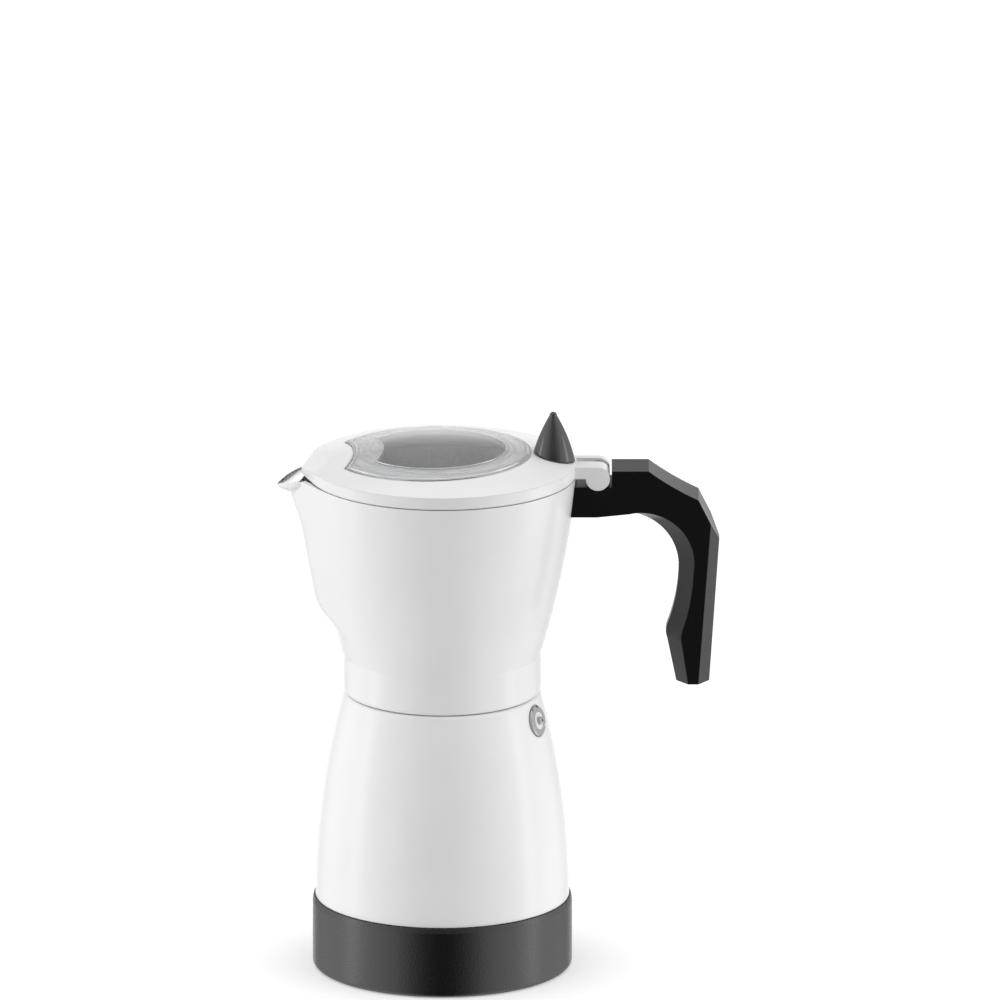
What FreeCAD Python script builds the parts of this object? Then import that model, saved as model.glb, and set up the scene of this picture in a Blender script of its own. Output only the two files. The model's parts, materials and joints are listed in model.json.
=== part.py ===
import FreeCAD, Part
import math
import os
import re

import Sketcher
from FreeCAD import Placement, Rotation, Vector

# Electric moka pot, assembled and at rest. Millimetres, +Z up, the origin in the middle of the underside.
# The spout points to -X and the handle to +X.

doc = FreeCAD.newDocument("moka_pot")
sheet = doc.addObject("Spreadsheet::Sheet", "Sizes")

SIZES = [
    # Dark base
    ("base_radius", 51.1, "outer radius of the base housing"),
    ("base_height", 28.4, "height of the base housing's top edge"),
    ("base_wall", 2.5, "wall of the base housing"),
    ("base_foot_round", 2.0, "rounding of the base's lower edge"),
    ("base_bevel_height", 2.0, "height of the bevel below the base's top edge"),
    ("base_bevel_depth", 0.5, "depth of that bevel"),
    ("base_lip_width", 0.4, "flat top of the base housing outside the seal"),
    ("base_ledge_height", 3.0, "thickness of the ledge that carries the seal"),
    ("base_rest_height", 2.0, "thickness of the inner ring that stands on the cover"),
    ("base_rest_width", 2.1, "width of that ring"),
    ("cover_thickness", 2.5, "thickness of the base cover"),
    ("cover_gap", 0.3, "gap between the cover's edge and the housing"),
    ("seal_thickness", 0.6, "thickness of the seal between boiler and base"),
    ("seal_rebate", 0.4, "depth that the seal lies below the housing's edge"),
    # Boiler
    ("skirt_inset", 3.9, "step from the base housing in to the boiler's hidden skirt"),
    ("skirt_radius", "=base_radius - skirt_inset", "outer radius of the skirt"),
    ("skirt_wall", 2.9, "wall of the skirt"),
    ("skirt_gap", 0.3, "gap between the skirt and the ledge round it"),
    ("skirt_foot_level", 22.0, "height of the skirt's lower edge"),
    ("body_inset", 1.1, "step from the base housing in to the foot of the white body"),
    ("body_foot_radius", "=base_radius - body_inset", "radius of the white body at its foot"),
    ("body_top_radius", 38.9, "radius of the white body at its shoulder"),
    ("body_curve_radius", 323.0, "radius of the arc of the body's side"),
    ("shoulder_level", 111.6, "height of the shoulder round the neck"),
    ("shoulder_round", 1.2, "rounding of the shoulder's edge"),
    ("neck_radius", 34.9, "outer radius of the neck"),
    ("neck_bore_radius", 32.2, "bore of the neck"),
    ("neck_foot_level", 110.0, "height where the neck's bore opens into the tank"),
    ("rim_level", 123.6, "height of the neck's rim"),
    ("rim_chamfer", 0.6, "chamfer of the rim"),
    ("seat_radius", 33.5, "radius of the seat for funnel and filter"),
    ("tank_wall", 2.6, "wall of the tank"),
    ("tank_floor_level", 42.0, "height of the tank's floor"),
    ("tank_floor_thickness", 4.0, "thickness of the tank's floor"),
    ("tank_corner_radius", 4.0, "rounding between floor and wall inside"),
    ("tank_shoulder_drop", 2.4, "fall of the tank's ceiling from the neck to the wall"),
    ("boss_inset", 5.7, "distance of the three screw bosses from the skirt's outside"),
    ("boss_circle_radius", "=skirt_radius - boss_inset", "radius of the circle of the bosses"),
    ("boss_radius", 3.4, "radius of a screw boss"),
    ("boss_foot_level", 16.0, "height of a boss's lower end"),
    ("boss_bore_depth", 12.0, "depth of a boss's bore"),
    # Base fasteners
    ("screw_radius", 1.5, "radius of a screw's shank"),
    ("screw_head_radius", 2.9, "radius of a screw's head"),
    ("screw_head_height", 1.4, "height of a screw's head"),
    ("thread_gap", 0.05, "gap between a screw and its bore"),
    ("hole_gap", 0.3, "gap between a screw and a clear hole"),
    ("base_screw_reach", 10.0, "length of a base screw inside its boss"),
    ("post_wall", 2.6, "wall of the cover's posts round the screws"),
    ("screw_sink_depth", 3.0, "depth of the screw recess in the cover"),
    # Heater
    ("heater_gap", 2.1, "gap between the heater plate and the screw bosses"),
    ("heater_radius", "=boss_circle_radius - boss_radius - heater_gap", "radius of the heater plate"),
    ("heater_thickness", 4.0, "thickness of the heater plate"),
    ("element_circle_radius", 27.0, "radius of the heating element's ring"),
    ("element_half_width", 3.3, "half the width of the element's section"),
    ("element_flat_depth", 3.2, "depth of the element's straight sides"),
    ("element_gap_angle", 50.0, "opening between the element's two ends, in degrees"),
    ("element_pin_radius", 2.0, "radius of the element's end pins"),
    ("element_pin_level", 24.0, "height of the lower end of those pins"),
    ("thermostat_radius", 8.5, "radius of the thermostat's case"),
    ("thermostat_flange_radius", 10.0, "radius of its flange"),
    ("thermostat_flange_thickness", 0.8, "thickness of its flange"),
    ("thermostat_height", 8.0, "height of the thermostat"),
    ("blade_width", 4.8, "width of a terminal blade"),
    ("blade_thickness", 0.8, "thickness of a terminal blade"),
    ("blade_length", 6.5, "length of a terminal blade"),
    ("blade_place", 5.4, "distance of the thermostat's blades from its axis"),
    ("fuse_radius", 2.0, "radius of the thermal fuse"),
    ("fuse_length", 9.0, "length of the thermal fuse"),
    ("fuse_start", 12.6, "distance of the fuse's inner end from the axis"),
    ("fuse_clip_width", 5.0, "width of the fuse clip"),
    ("fuse_clip_wall", 1.0, "wall of the fuse clip under the fuse"),
    ("fuse_lead_radius", 0.6, "radius of the bare fuse leads"),
    ("earth_stud_radius", 1.6, "radius of the earth stud"),
    ("earth_stud_length", 6.0, "length of the earth stud"),
    ("earth_stud_inset", 2.5, "distance of the earth stud from the heater plate's edge"),
    ("earth_stud_circle", "=heater_radius - earth_stud_inset", "distance of the earth stud from the axis"),
    # Power socket
    ("socket_radius", 19.0, "outer radius of the power socket"),
    ("socket_height", 15.0, "height of the power socket"),
    ("socket_flange_radius", 25.0, "radius of its flange"),
    ("socket_flange_thickness", 2.0, "thickness of its flange"),
    ("socket_bore_radius", 16.5, "radius of the recess that the plug enters"),
    ("socket_bore_depth", 9.0, "depth of that recess"),
    ("socket_post_radius", 5.0, "radius of the post in the recess"),
    ("socket_post_recess", 1.5, "depth of the post's end above the underside"),
    ("socket_gap", 0.2, "gap between socket and cover"),
    ("contact_inner_radius", 8.6, "radius of the inner contact ring"),
    ("contact_outer_radius", 12.6, "radius of the outer contact ring"),
    ("contact_thickness", 0.8, "thickness of the contact rings"),
    ("contact_height", 4.4, "height of the contact rings in the recess"),
    ("contact_pin_radius", 1.6, "radius of the earth contact in the post"),
    ("socket_tab_place", 14.2, "distance of the socket's tabs from the axis"),
    ("socket_tab_height", 2.0, "height of the socket's tabs"),
    ("socket_screw_place", 22.0, "distance of the socket's screws from the axis"),
    ("socket_screw_radius", 1.2, "radius of the socket's screws"),
    ("socket_screw_depth", 1.8, "depth of those screws in the cover"),
    ("lead_radius", 1.2, "radius of an insulated lead"),
    ("lead_level", 20.2, "height at which the leads cross the base"),
    ("lead_bend_radius", 3.0, "bend radius of the leads"),
    # Safety valve
    ("valve_level", 103.5, "height of the safety valve"),
    ("valve_azimuth", -23.3, "direction of the valve from +X, in degrees"),
    ("valve_flange_radius", 6.2, "radius of the valve's flange"),
    ("valve_flange_thickness", 1.4, "thickness of the valve's flange"),
    ("valve_chamfer", 0.5, "chamfer of the flange"),
    ("valve_spot_gap", 0.3, "gap round the flange in its flat seat"),
    ("valve_spot_depth", 0.6, "depth of the flat seat in the wall"),
    ("valve_stem_radius", 4.0, "radius of the valve's threaded stem"),
    ("valve_stem_length", 6.0, "length of the stem under the flange"),
    ("valve_bore_radius", 2.5, "bore of the valve"),
    ("valve_seat_thickness", 1.0, "thickness of the valve's seat at its inner end"),
    ("valve_orifice_radius", 1.0, "radius of the hole in the seat"),
    ("valve_bush_radius", 3.5, "radius of the pale guide bush"),
    ("valve_bush_depth", 1.0, "thickness of the bush"),
    ("valve_pin_radius", 1.5, "radius of the valve's pin"),
    ("valve_pin_stand", 1.5, "height of the pin above the flange"),
    ("valve_pin_hole_radius", 0.5, "radius of the blind hole in the pin's end"),
    ("valve_poppet_radius", 2.2, "radius of the poppet on the pin"),
    ("valve_poppet_height", 1.0, "height of the poppet"),
    ("valve_spring_wire", 0.5, "wire of the valve's spring"),
    ("valve_notch_width", 1.3, "width of the two spanner notches"),
    ("valve_notch_depth", 1.1, "radial depth of those notches"),
    ("pin_gap", 0.05, "running gap round a pin"),
    # Funnel
    ("funnel_flange_radius", 33.2, "radius of the funnel's rim"),
    ("funnel_flange_thickness", 0.8, "thickness of the funnel's rim"),
    ("funnel_radius", 31.6, "radius of the funnel's cup"),
    ("funnel_wall", 0.9, "wall of the funnel"),
    ("funnel_step_depth", 14.8, "depth of the step in the cup's wall"),
    ("funnel_step_size", 0.35, "size of that step"),
    ("funnel_cup_depth", 31.5, "depth of the cup's straight side"),
    ("funnel_groove_rise", 2.2, "height of the groove above the cup's lower edge"),
    ("funnel_groove_size", 0.5, "size of that groove"),
    ("funnel_cone_depth", 12.6, "depth of the cone under the cup"),
    ("collar_radius", 4.75, "radius of the collar under the cone"),
    ("collar_wall", 0.8, "wall of the collar"),
    ("collar_length", 8.0, "length of the collar"),
    ("tube_start", 1.6, "distance of the tube's end below the cone"),
    ("tube_wall", 0.5, "wall of the funnel's tube"),
    ("tube_depth", 75.6, "depth of the tube's lower end below the rim"),
    ("tube_bead_size", 0.5, "size of the bead round the tube's upper end"),
    ("tube_gap", 0.05, "gap between collar and tube"),
    ("sieve_thickness", 0.8, "thickness of the sieve in the funnel's floor"),
    ("sieve_ledge", 1.8, "width of the ledge that carries the sieve"),
    ("sieve_gap", 0.1, "gap between the sieve and the cup's wall"),
    ("sieve_hole_radius", 0.8, "radius of the sieve's holes"),
    ("sieve_field_radius", 24.0, "radius of the outer ring of holes"),
    # Filter plate
    ("filter_radius", 33.0, "radius of the filter plate"),
    ("filter_thickness", 0.8, "thickness of the filter plate"),
    ("filter_hole_radius", 0.4, "radius of the filter's holes"),
    ("filter_field_radius", 27.0, "radius of the outer ring of holes"),
    ("filter_tab_width", 5.1, "width of the filter's pull tab"),
    ("filter_tab_height", 2.4, "height of the pull tab"),
    ("filter_tab_thickness", 0.6, "thickness of the pull tab"),
    # Gasket
    ("gasket_radius", 36.2, "outer radius of the gasket"),
    ("gasket_bore_radius", 27.0, "inner radius of the gasket"),
    ("gasket_thickness", 2.8, "thickness of the gasket"),
    # Jug
    ("jug_gap", 0.3, "gap between the jug's foot and the boiler's shoulder"),
    ("jug_height", 88.0, "height of the jug's rim above its foot"),
    ("jug_foot_radius", 38.9, "radius of the jug's collar"),
    ("jug_foot_round", 1.5, "rounding of the jug's lower edge"),
    ("jug_collar_height", 15.5, "height of the jug's collar"),
    ("jug_thread_radius", 36.5, "bore of the jug's collar"),
    ("jug_middle_height", 50.5, "height at which the middle radius is measured"),
    ("jug_rim_radius", 52.9, "radius of the jug at its rim"),
    ("jug_swell", 1.6, "swell of the jug's middle beyond the mean of its collar and rim"),
    ("jug_middle_radius", "=(jug_foot_radius + jug_rim_radius) / 2 + jug_swell", "radius of that middle"),
    ("jug_wall", 2.0, "wall of the jug"),
    ("jug_floor_thickness", 3.5, "thickness of the jug's floor above the gasket"),
    ("jug_dome_rise", 1.0, "rise of the floor's underside to the riser"),
    # Spout
    ("belly_foot_height", 25.5, "height where the spout's belly starts"),
    ("belly_full_height", 36.5, "height where the belly is full"),
    ("belly_upper_height", 65.0, "height above which the belly narrows to the lip"),
    ("belly_reach", 4.9, "reach of the belly beyond the round body"),
    ("belly_trace", 0.2, "reach of the belly in the round collar below it"),
    ("belly_spread", 32.0, "angle from the spout to where its sides leave the round body, in degrees"),
    ("lip_nose_reach", 8.2, "reach of the body's nose at the rim"),
    ("lip_root_reach", 1.1, "reach of the lip's root beyond the rim"),
    ("lip_start", "=jug_rim_radius + lip_root_reach", "distance of the lip's root from the axis"),
    ("lip_length", 10.8, "length of the lip"),
    ("lip_reach", "=lip_start + lip_length", "distance of the spout's tip from the axis"),
    ("lip_fall", 3.9, "fall of the lip from the rim to its tip"),
    ("lip_root_half_width", 11.4, "half the width of the lip at its root"),
    ("lip_root_depth", 5.8, "depth of the lip at its root"),
    ("lip_tip_half_width", 0.9, "half the width of the lip at its tip"),
    ("lip_tip_depth", 0.8, "depth of the lip at its tip"),
    ("lip_wall", 0.6, "wall of the lip"),
    # Riser in the jug
    ("riser_radius", 8.0, "radius of the riser at its foot"),
    ("riser_top_radius", 6.0, "radius of the riser at its top"),
    ("riser_height", 40.0, "height of the riser above the jug's floor"),
    ("riser_dome", 4.0, "height of the riser's domed end"),
    ("riser_bore_radius", 4.2, "bore of the riser"),
    ("riser_spigot_radius", 6.0, "radius of the riser's spigot in the floor"),
    ("riser_slot_width", 3.2, "width of the riser's two outlets"),
    ("riser_slot_height", 6.0, "height of those outlets"),
    # Lid
    ("lid_gap", 0.3, "gap between lid and jug"),
    ("lid_edge_height", 4.7, "height of the lid's edge"),
    ("lid_rise", 6.9, "rise of the lid's dome above its edge"),
    ("lid_wall", 2.0, "wall of the lid"),
    ("beak_overhang", 2.3, "reach of the lid's beak beyond the rim"),
    ("lid_beak_reach", "=jug_rim_radius + beak_overhang", "distance of the lid's beak from the axis"),
    ("lid_beak_radius", 4.0, "radius of the lid's beak"),
    ("beak_end_height", 2.2, "height of the beak's end above the lid's foot"),
    ("beak_fall_length", 11.2, "length of the fall of the lid's top to the beak"),
    ("beak_fall_start", "=lid_beak_reach - beak_fall_length", "distance where that fall starts"),
    ("beak_fall_radius", 63.0, "radius of that fall"),
    ("lid_rib_wall", 1.3, "wall of the rib that centres the lid"),
    ("lid_rib_depth", 2.8, "depth of that rib inside the jug"),
    ("lid_rib_gap", 0.5, "gap between the rib and the jug"),
    ("lid_rib_inset", 10.9, "distance from the rim to where the rib ends at the spout"),
    ("lid_rib_opening", "=jug_rim_radius - lid_rib_inset", "distance of that place from the axis"),
    # Window
    ("window_inset", 13.9, "distance between the window's and the rim's radius"),
    ("window_radius", "=jug_rim_radius - window_inset", "radius of the window"),
    ("window_shift", 4.0, "distance of the window's centre towards the spout"),
    ("window_bite_radius", 50.6, "radius of the bite in the window's edge"),
    ("window_bite_depth", 8.3, "depth of that bite"),
    ("window_bite_place", "=window_radius + window_shift - window_bite_depth", "distance of its middle"),
    ("window_sink", 1.2, "depth of the window's seat in the lid"),
    ("window_stand", 0.3, "height of the window above the lid"),
    ("window_gap", 0.1, "gap round the window"),
    ("window_border", 11.2, "width of the window's border on the lid"),
    ("opening_radius", "=window_radius - window_border", "radius of the opening under the window"),
    ("opening_shift", 3.0, "distance of the opening's centre towards the spout"),
    ("opening_bite_radius", 45.6, "radius of the bite in the opening's edge"),
    ("opening_bite_depth", 8.1, "depth of that bite"),
    ("opening_bite_place", "=opening_radius + opening_shift - opening_bite_depth", "distance of its middle"),
    ("window_ring_width", 3.0, "width of the ring that holds the window"),
    ("window_ring_thickness", 1.0, "thickness of that ring"),
    # Knob
    ("knob_inset", 9.9, "distance of the knob inside the rim"),
    ("knob_place", "=jug_rim_radius - knob_inset", "distance of the knob from the axis"),
    ("knob_radius", 8.6, "radius of the knob's foot"),
    ("knob_height", 18.0, "height of the knob above the lid"),
    ("knob_curve_radius", 300.0, "radius of the arc of the knob's side"),
    ("knob_tip_radius", 1.5, "radius of the knob's tip"),
    ("knob_boss_radius", 4.4, "radius of the lid's boss under the knob"),
    ("knob_boss_drop", 3.4, "depth of that boss below the lid's top"),
    ("knob_washer_radius", 3.6, "radius of the washer under the knob's screw"),
    ("knob_washer_thickness", 0.5, "thickness of that washer"),
    ("knob_bore_reach", 8.0, "depth of the knob's bore above the lid"),
    ("knob_bore_spare", 1.5, "free depth of that bore beyond the screw"),
    # Hinge
    ("hinge_offset", 8.2, "distance of the hinge pin beyond the rim"),
    ("hinge_place", "=jug_rim_radius + hinge_offset", "distance of the hinge pin from the axis"),
    ("hinge_pin_radius", 1.5, "radius of the hinge pin"),
    ("hinge_half_width", 9.0, "half the width of the hinge and the handle"),
    ("hinge_slot_front", 0.4, "place of the slot's front face"),
    ("hinge_slot_back", 5.1, "place of the slot's back face"),
    ("hinge_side_gap", 0.25, "gap on each side of the tongue"),
    ("hinge_end_wall", 0.9, "wall over the pin's front end"),
    ("knuckle_radius", 4.75, "radius of the lid's knuckles"),
    ("knuckle_corner_radius", 4.4, "rounding of the knuckles' upper corner"),
    ("tongue_radius", 3.8, "radius of the handle's tongue round the pin"),
    ("notch_radius", 5.5, "radius of the handle's notch round the knuckles"),
    # Handle, placed from the jug's rim
    ("handle_root_depth", 3.9, "distance of the handle's hidden end inside the rim's radius"),
    ("handle_start", "=jug_rim_radius - handle_root_depth", "distance of that end from the axis"),
    ("handle_under_drop", 15.3, "drop from the rim to the handle's underside at the jug"),
    ("handle_under_height", "=jug_height - handle_under_drop", "height of that underside"),
    ("handle_shelf_drop", 3.0, "drop from the rim to the shelf under the lid's lugs"),
    ("handle_shelf_height", "=jug_height - handle_shelf_drop", "height of that shelf"),
    ("handle_top_rise", 3.5, "rise of the handle's top above the rim"),
    ("handle_top_height", "=jug_height + handle_top_rise", "height of the handle's top"),
    ("handle_foot_drop", 83.6, "drop from the rim to the grip's lower end"),
    ("handle_foot_height", "=jug_height - handle_foot_drop", "height of the grip's lower end"),
    ("handle_flat_reach", 8.0, "distance beyond the rim where the flat underside ends"),
    ("handle_top_reach", 28.2, "distance beyond the rim where the flat top ends"),
    ("handle_brow_reach", 47.8, "distance of the brow's outer end beyond the rim"),
    ("handle_brow_drop", 8.3, "drop from the rim to the brow's outer end"),
    ("handle_brow_height", "=jug_height - handle_brow_drop", "height of the brow's outer end"),
    ("handle_brow_hollow", 0.6, "hollow of the brow"),
    ("handle_band_half_width", 2.7, "half the width of the band along the grip"),
    ("handle_jug_gap", 0.1, "gap between handle and jug"),
    ("lug_half_width", 4.0, "half the width of the jug's lug"),
    ("lug_foot_drop", 12.0, "drop from the rim to the lug's underside"),
    ("lug_foot_height", "=jug_height - lug_foot_drop", "height of the lug's underside"),
    ("lug_thickness", 3.6, "thickness of the lug"),
    ("lug_length", 7.3, "reach of the lug beyond the rim's radius"),
    ("lug_reach", "=jug_rim_radius + lug_length", "distance of the lug's end from the axis"),
    ("lug_gap", 0.2, "gap between the lug and its pocket"),
    ("handle_screw_reach", 3.7, "distance of the handle's screw beyond the rim"),
    ("handle_screw_place", "=jug_rim_radius + handle_screw_reach", "distance of that screw from the axis"),
    ("handle_screw_sink", 1.6, "depth of the recess of the handle's screw"),
]

for row, (alias, value, words) in enumerate(SIZES, start=1):
    sheet.set(f"A{row}", words)
    sheet.set(f"B{row}", str(value))
    sheet.setAlias(f"B{row}", alias)
doc.recompute()

# Levels that several pieces share, as expressions of the sheet's values
BODY_FOOT = "(base_height - seal_rebate + seal_thickness)"
TANK_UNDERSIDE = "(tank_floor_level - tank_floor_thickness)"
HEATER_UNDERSIDE = f"({TANK_UNDERSIDE} - heater_thickness)"
FUNNEL_TOP = "(rim_level - filter_thickness)"
CUP_FLOOR = f"({FUNNEL_TOP} - funnel_cup_depth)"
CONE_FOOT = f"({CUP_FLOOR} - funnel_cone_depth)"
JUG_FOOT = "(shoulder_level + jug_gap)"
HOLES_PER_STEP = 6


def bound(expression):
    """The expression with the sheet's name before each alias. Every alias holds an underscore."""
    return re.sub(r"[a-z]+(?:_[a-z]+)+", lambda found: "Sizes." + found.group(), str(expression))


def size(expression):
    """The number that an expression of the sheet's values gives now."""
    return float(sheet.evalExpression(bound(expression)))


def place(made, x="0", y="0", z="0"):
    """Binds the position of an object to the sheet."""
    made.setExpression("Placement.Base.x", bound(x))
    made.setExpression("Placement.Base.y", bound(y))
    made.setExpression("Placement.Base.z", bound(z))
    return made


def cylinder(name, radius, height, x="0", y="0", z="0"):
    made = doc.addObject("Part::Cylinder", name)
    made.setExpression("Radius", bound(radius))
    made.setExpression("Height", bound(height))
    return place(made, x, y, z)


def box(name, length, width, height, x="0", y="0", z="0"):
    """A box whose lowest corner is at x, y, z."""
    made = doc.addObject("Part::Box", name)
    made.setExpression("Length", bound(length))
    made.setExpression("Width", bound(width))
    made.setExpression("Height", bound(height))
    return place(made, x, y, z)


def fused(label, members):
    made = doc.addObject("Part::MultiFuse", label)
    made.Shapes = members
    return made


def grouped(label, members):
    """Separate solids kept as one node."""
    made = doc.addObject("Part::Compound", label)
    made.Links = members
    return made


def without(label, base, tools):
    """The base less the tools."""
    made = doc.addObject("Part::Cut", label)
    made.Base = base
    made.Tool = tools[0] if len(tools) == 1 else fused(label + "_tools", tools)
    return made


def shaped(label, shape, placement=None):
    """A sub-part whose form is worked out here from the sheet's values."""
    made = doc.addObject("Part::Feature", label)
    made.Shape = shape
    if placement is not None:
        made.Placement = placement
    return made


def arc_centre(start, end, radius, left):
    """Centre of the arc from start to end, on the left or the right of the way between them."""
    middle = (start + end) / 2
    along = end - start
    rise = math.sqrt(max(radius**2 - along.Length**2 / 4, 0))
    side = Vector(-along.y, along.x, 0).normalize()
    return middle + side * (rise if left else -rise)


def draw(sketch, corners):
    """Draws a closed outline whose corners are bound to the sheet.
    A corner is (x, y), or (x, y, radius, "left" or "right") where the way to the next corner is an arc."""
    points = [Vector(size(corner[0]), size(corner[1]), 0) for corner in corners]
    starts, ends = [], []
    for index, corner in enumerate(corners):
        start, end = points[index], points[(index + 1) % len(corners)]
        if len(corner) == 2:
            geometry = sketch.addGeometry(Part.LineSegment(start, end))
            starts.append((geometry, 1))
            ends.append((geometry, 2))
            continue
        radius, left = size(corner[2]), corner[3] == "left"
        centre = arc_centre(start, end, radius, left)
        first, last = (start, end) if left else (end, start)
        circle = Part.Circle(centre, Vector(0, 0, 1), radius)
        angles = [math.atan2(p.y - centre.y, p.x - centre.x) for p in (first, last)]
        geometry = sketch.addGeometry(Part.ArcOfCircle(circle, *angles))
        starts.append((geometry, 1 if left else 2))
        ends.append((geometry, 2 if left else 1))
        number = sketch.addConstraint(Sketcher.Constraint("Radius", geometry, radius))
        sketch.setExpression(f"Constraints[{number}]", bound(corner[2]))
    for index, corner in enumerate(corners):
        vertex = starts[index]
        sketch.addConstraint(Sketcher.Constraint("Coincident", *ends[index - 1], *vertex))
        for kind, axis, text, number in (
            ("DistanceX", -2, corner[0], points[index].x),
            ("DistanceY", -1, corner[1], points[index].y),
        ):
            if text == "0":
                sketch.addConstraint(Sketcher.Constraint("PointOnObject", *vertex, axis))
                continue
            made = sketch.addConstraint(Sketcher.Constraint(kind, -1, 1, *vertex, number))
            sketch.setExpression(f"Constraints[{made}]", bound(text))


def sketch_on(body, plane_role, corners):
    """A sketch on one of the body's own origin planes."""
    sketch = body.newObject("Sketcher::SketchObject", body.Label + "_sketch")
    plane = next(o for o in body.Origin.OriginFeatures if o.Role == plane_role)
    sketch.AttachmentSupport = [(plane, "")]
    sketch.MapMode = "FlatFace"
    draw(sketch, corners)
    return sketch


def turned(label, corners, degrees=360):
    """A body turned about the Z axis from an outline of (radius, height) corners."""
    body = doc.addObject("PartDesign::Body", label)
    sketch = sketch_on(body, "XZ_Plane", corners)
    turn = body.newObject("PartDesign::Revolution", label + "_turn")
    turn.Profile = sketch
    turn.ReferenceAxis = (sketch, ["V_Axis"])
    turn.Angle = degrees
    return body


def on_circle(radius, degrees):
    """The x and y expressions of a point on a circle."""
    return f"({radius}) * cos({degrees})", f"({radius}) * sin({degrees})"


SCREW_ANGLES = (30, 150, 270)


# Boiler vessel: tank, shoulder, neck and hidden skirt in one casting
def make_boiler_vessel():
    casting = turned(
        "boiler_casting",
        [
            ("0", TANK_UNDERSIDE),
            ("skirt_radius - skirt_wall", TANK_UNDERSIDE),
            ("skirt_radius - skirt_wall", "skirt_foot_level"),
            ("skirt_radius", "skirt_foot_level"),
            ("skirt_radius", BODY_FOOT),
            ("body_foot_radius", BODY_FOOT, "body_curve_radius", "left"),
            ("body_top_radius", "shoulder_level - shoulder_round", "shoulder_round", "left"),
            ("body_top_radius - shoulder_round", "shoulder_level"),
            ("neck_radius", "shoulder_level"),
            ("neck_radius", "rim_level - rim_chamfer"),
            ("neck_radius - rim_chamfer", "rim_level"),
            ("seat_radius", "rim_level"),
            ("seat_radius", f"{FUNNEL_TOP} - funnel_flange_thickness"),
            ("neck_bore_radius", f"{FUNNEL_TOP} - funnel_flange_thickness"),
            ("neck_bore_radius", "neck_foot_level"),
            (
                "body_top_radius - tank_wall",
                "neck_foot_level - tank_shoulder_drop",
                "body_curve_radius - tank_wall",
                "right",
            ),
            (
                "body_foot_radius - tank_wall",
                "tank_floor_level + tank_corner_radius",
                "tank_corner_radius",
                "right",
            ),
            ("body_foot_radius - tank_wall - tank_corner_radius", "tank_floor_level"),
            ("0", "tank_floor_level"),
        ],
    )
    bosses, bores = [], []
    for angle in SCREW_ANGLES:
        x, y = on_circle("boss_circle_radius", angle)
        height = f"{TANK_UNDERSIDE} - boss_foot_level"
        bosses.append(cylinder("boss", "boss_radius", height, x, y, "boss_foot_level"))
        bore = "screw_radius + thread_gap"
        bores.append(cylinder("boss_bore", bore, "boss_bore_depth", x, y, "boss_foot_level"))
    seat_radius = "valve_flange_radius + valve_spot_gap"
    seat = valve_cylinder("valve_seat", seat_radius, "-valve_spot_depth", "valve_stem_length")
    reach = "2 * valve_stem_length"
    hole = valve_cylinder("valve_hole", "valve_stem_radius + pin_gap", f"-{reach}", f"2 * {reach}")
    return without("boiler_vessel", fused("boiler_blank", [casting, *bosses]), [*bores, seat, hole])


# Safety valve, modelled along its own Z axis and turned square to the boiler's wall
def valve_frame():
    """Place of the valve: the body's surface at its level, and the way out of it."""
    foot = Vector(size("body_foot_radius"), size(BODY_FOOT), 0)
    top = Vector(size("body_top_radius"), size("shoulder_level - shoulder_round"), 0)
    curve = size("body_curve_radius")
    centre = arc_centre(foot, top, curve, True)
    level = size("valve_level")
    tilt = math.asin((level - centre.y) / curve)
    radius = centre.x + curve * math.cos(tilt)
    azimuth = math.radians(size("valve_azimuth"))
    around = Vector(math.cos(azimuth), math.sin(azimuth), 0)
    outward = around * math.cos(tilt) + Vector(0, 0, math.sin(tilt))
    return Placement(around * radius + Vector(0, 0, level), Rotation(Vector(0, 0, 1), outward))


def valve_cylinder(name, radius, start, length):
    """A cylinder along the valve's axis."""
    made = doc.addObject("Part::Cylinder", name)
    made.setExpression("Radius", bound(radius))
    made.setExpression("Height", bound(length))
    made.Placement = valve_frame() * Placement(Vector(0, 0, size(start)), Rotation())
    return made


def valve_piece(label, corners):
    body = turned(label, corners)
    body.Placement = valve_frame()
    return body


FLANGE_TOP = "(valve_flange_thickness - valve_spot_depth)"
STEM_END = "(-valve_spot_depth - valve_stem_length)"
VALVE_SEAT = f"({STEM_END} + valve_seat_thickness)"
BUSH_FOOT = f"({FLANGE_TOP} - valve_bush_depth)"
VALVE_NOTCH_ANGLES = (35, 145)


def make_valve_body():
    body = valve_piece(
        "valve_blank",
        [
            ("valve_orifice_radius", STEM_END),
            ("valve_stem_radius", STEM_END),
            ("valve_stem_radius", "-valve_spot_depth"),
            ("valve_flange_radius", "-valve_spot_depth"),
            ("valve_flange_radius", f"{FLANGE_TOP} - valve_chamfer"),
            ("valve_flange_radius - valve_chamfer", FLANGE_TOP),
            ("valve_bush_radius", FLANGE_TOP),
            ("valve_bush_radius", BUSH_FOOT),
            ("valve_bore_radius", BUSH_FOOT),
            ("valve_bore_radius", VALVE_SEAT),
            ("valve_orifice_radius", VALVE_SEAT),
        ],
    )
    notches = []
    for angle in VALVE_NOTCH_ANGLES:
        notch = doc.addObject("Part::Box", "valve_notch")
        notch.setExpression("Length", bound("2 * valve_notch_depth"))
        notch.setExpression("Width", bound("valve_notch_width"))
        notch.setExpression("Height", bound("valve_flange_thickness"))
        corner = Vector(
            size("valve_flange_radius - valve_notch_depth"),
            -size("valve_notch_width") / 2,
            size(FLANGE_TOP) - size("valve_flange_thickness") / 2,
        )
        turn = Rotation(Vector(0, 0, 1), angle)
        notch.Placement = valve_frame() * Placement(Vector(), turn) * Placement(corner, Rotation())
        notches.append(notch)
    return without("valve_body", body, notches)


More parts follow.
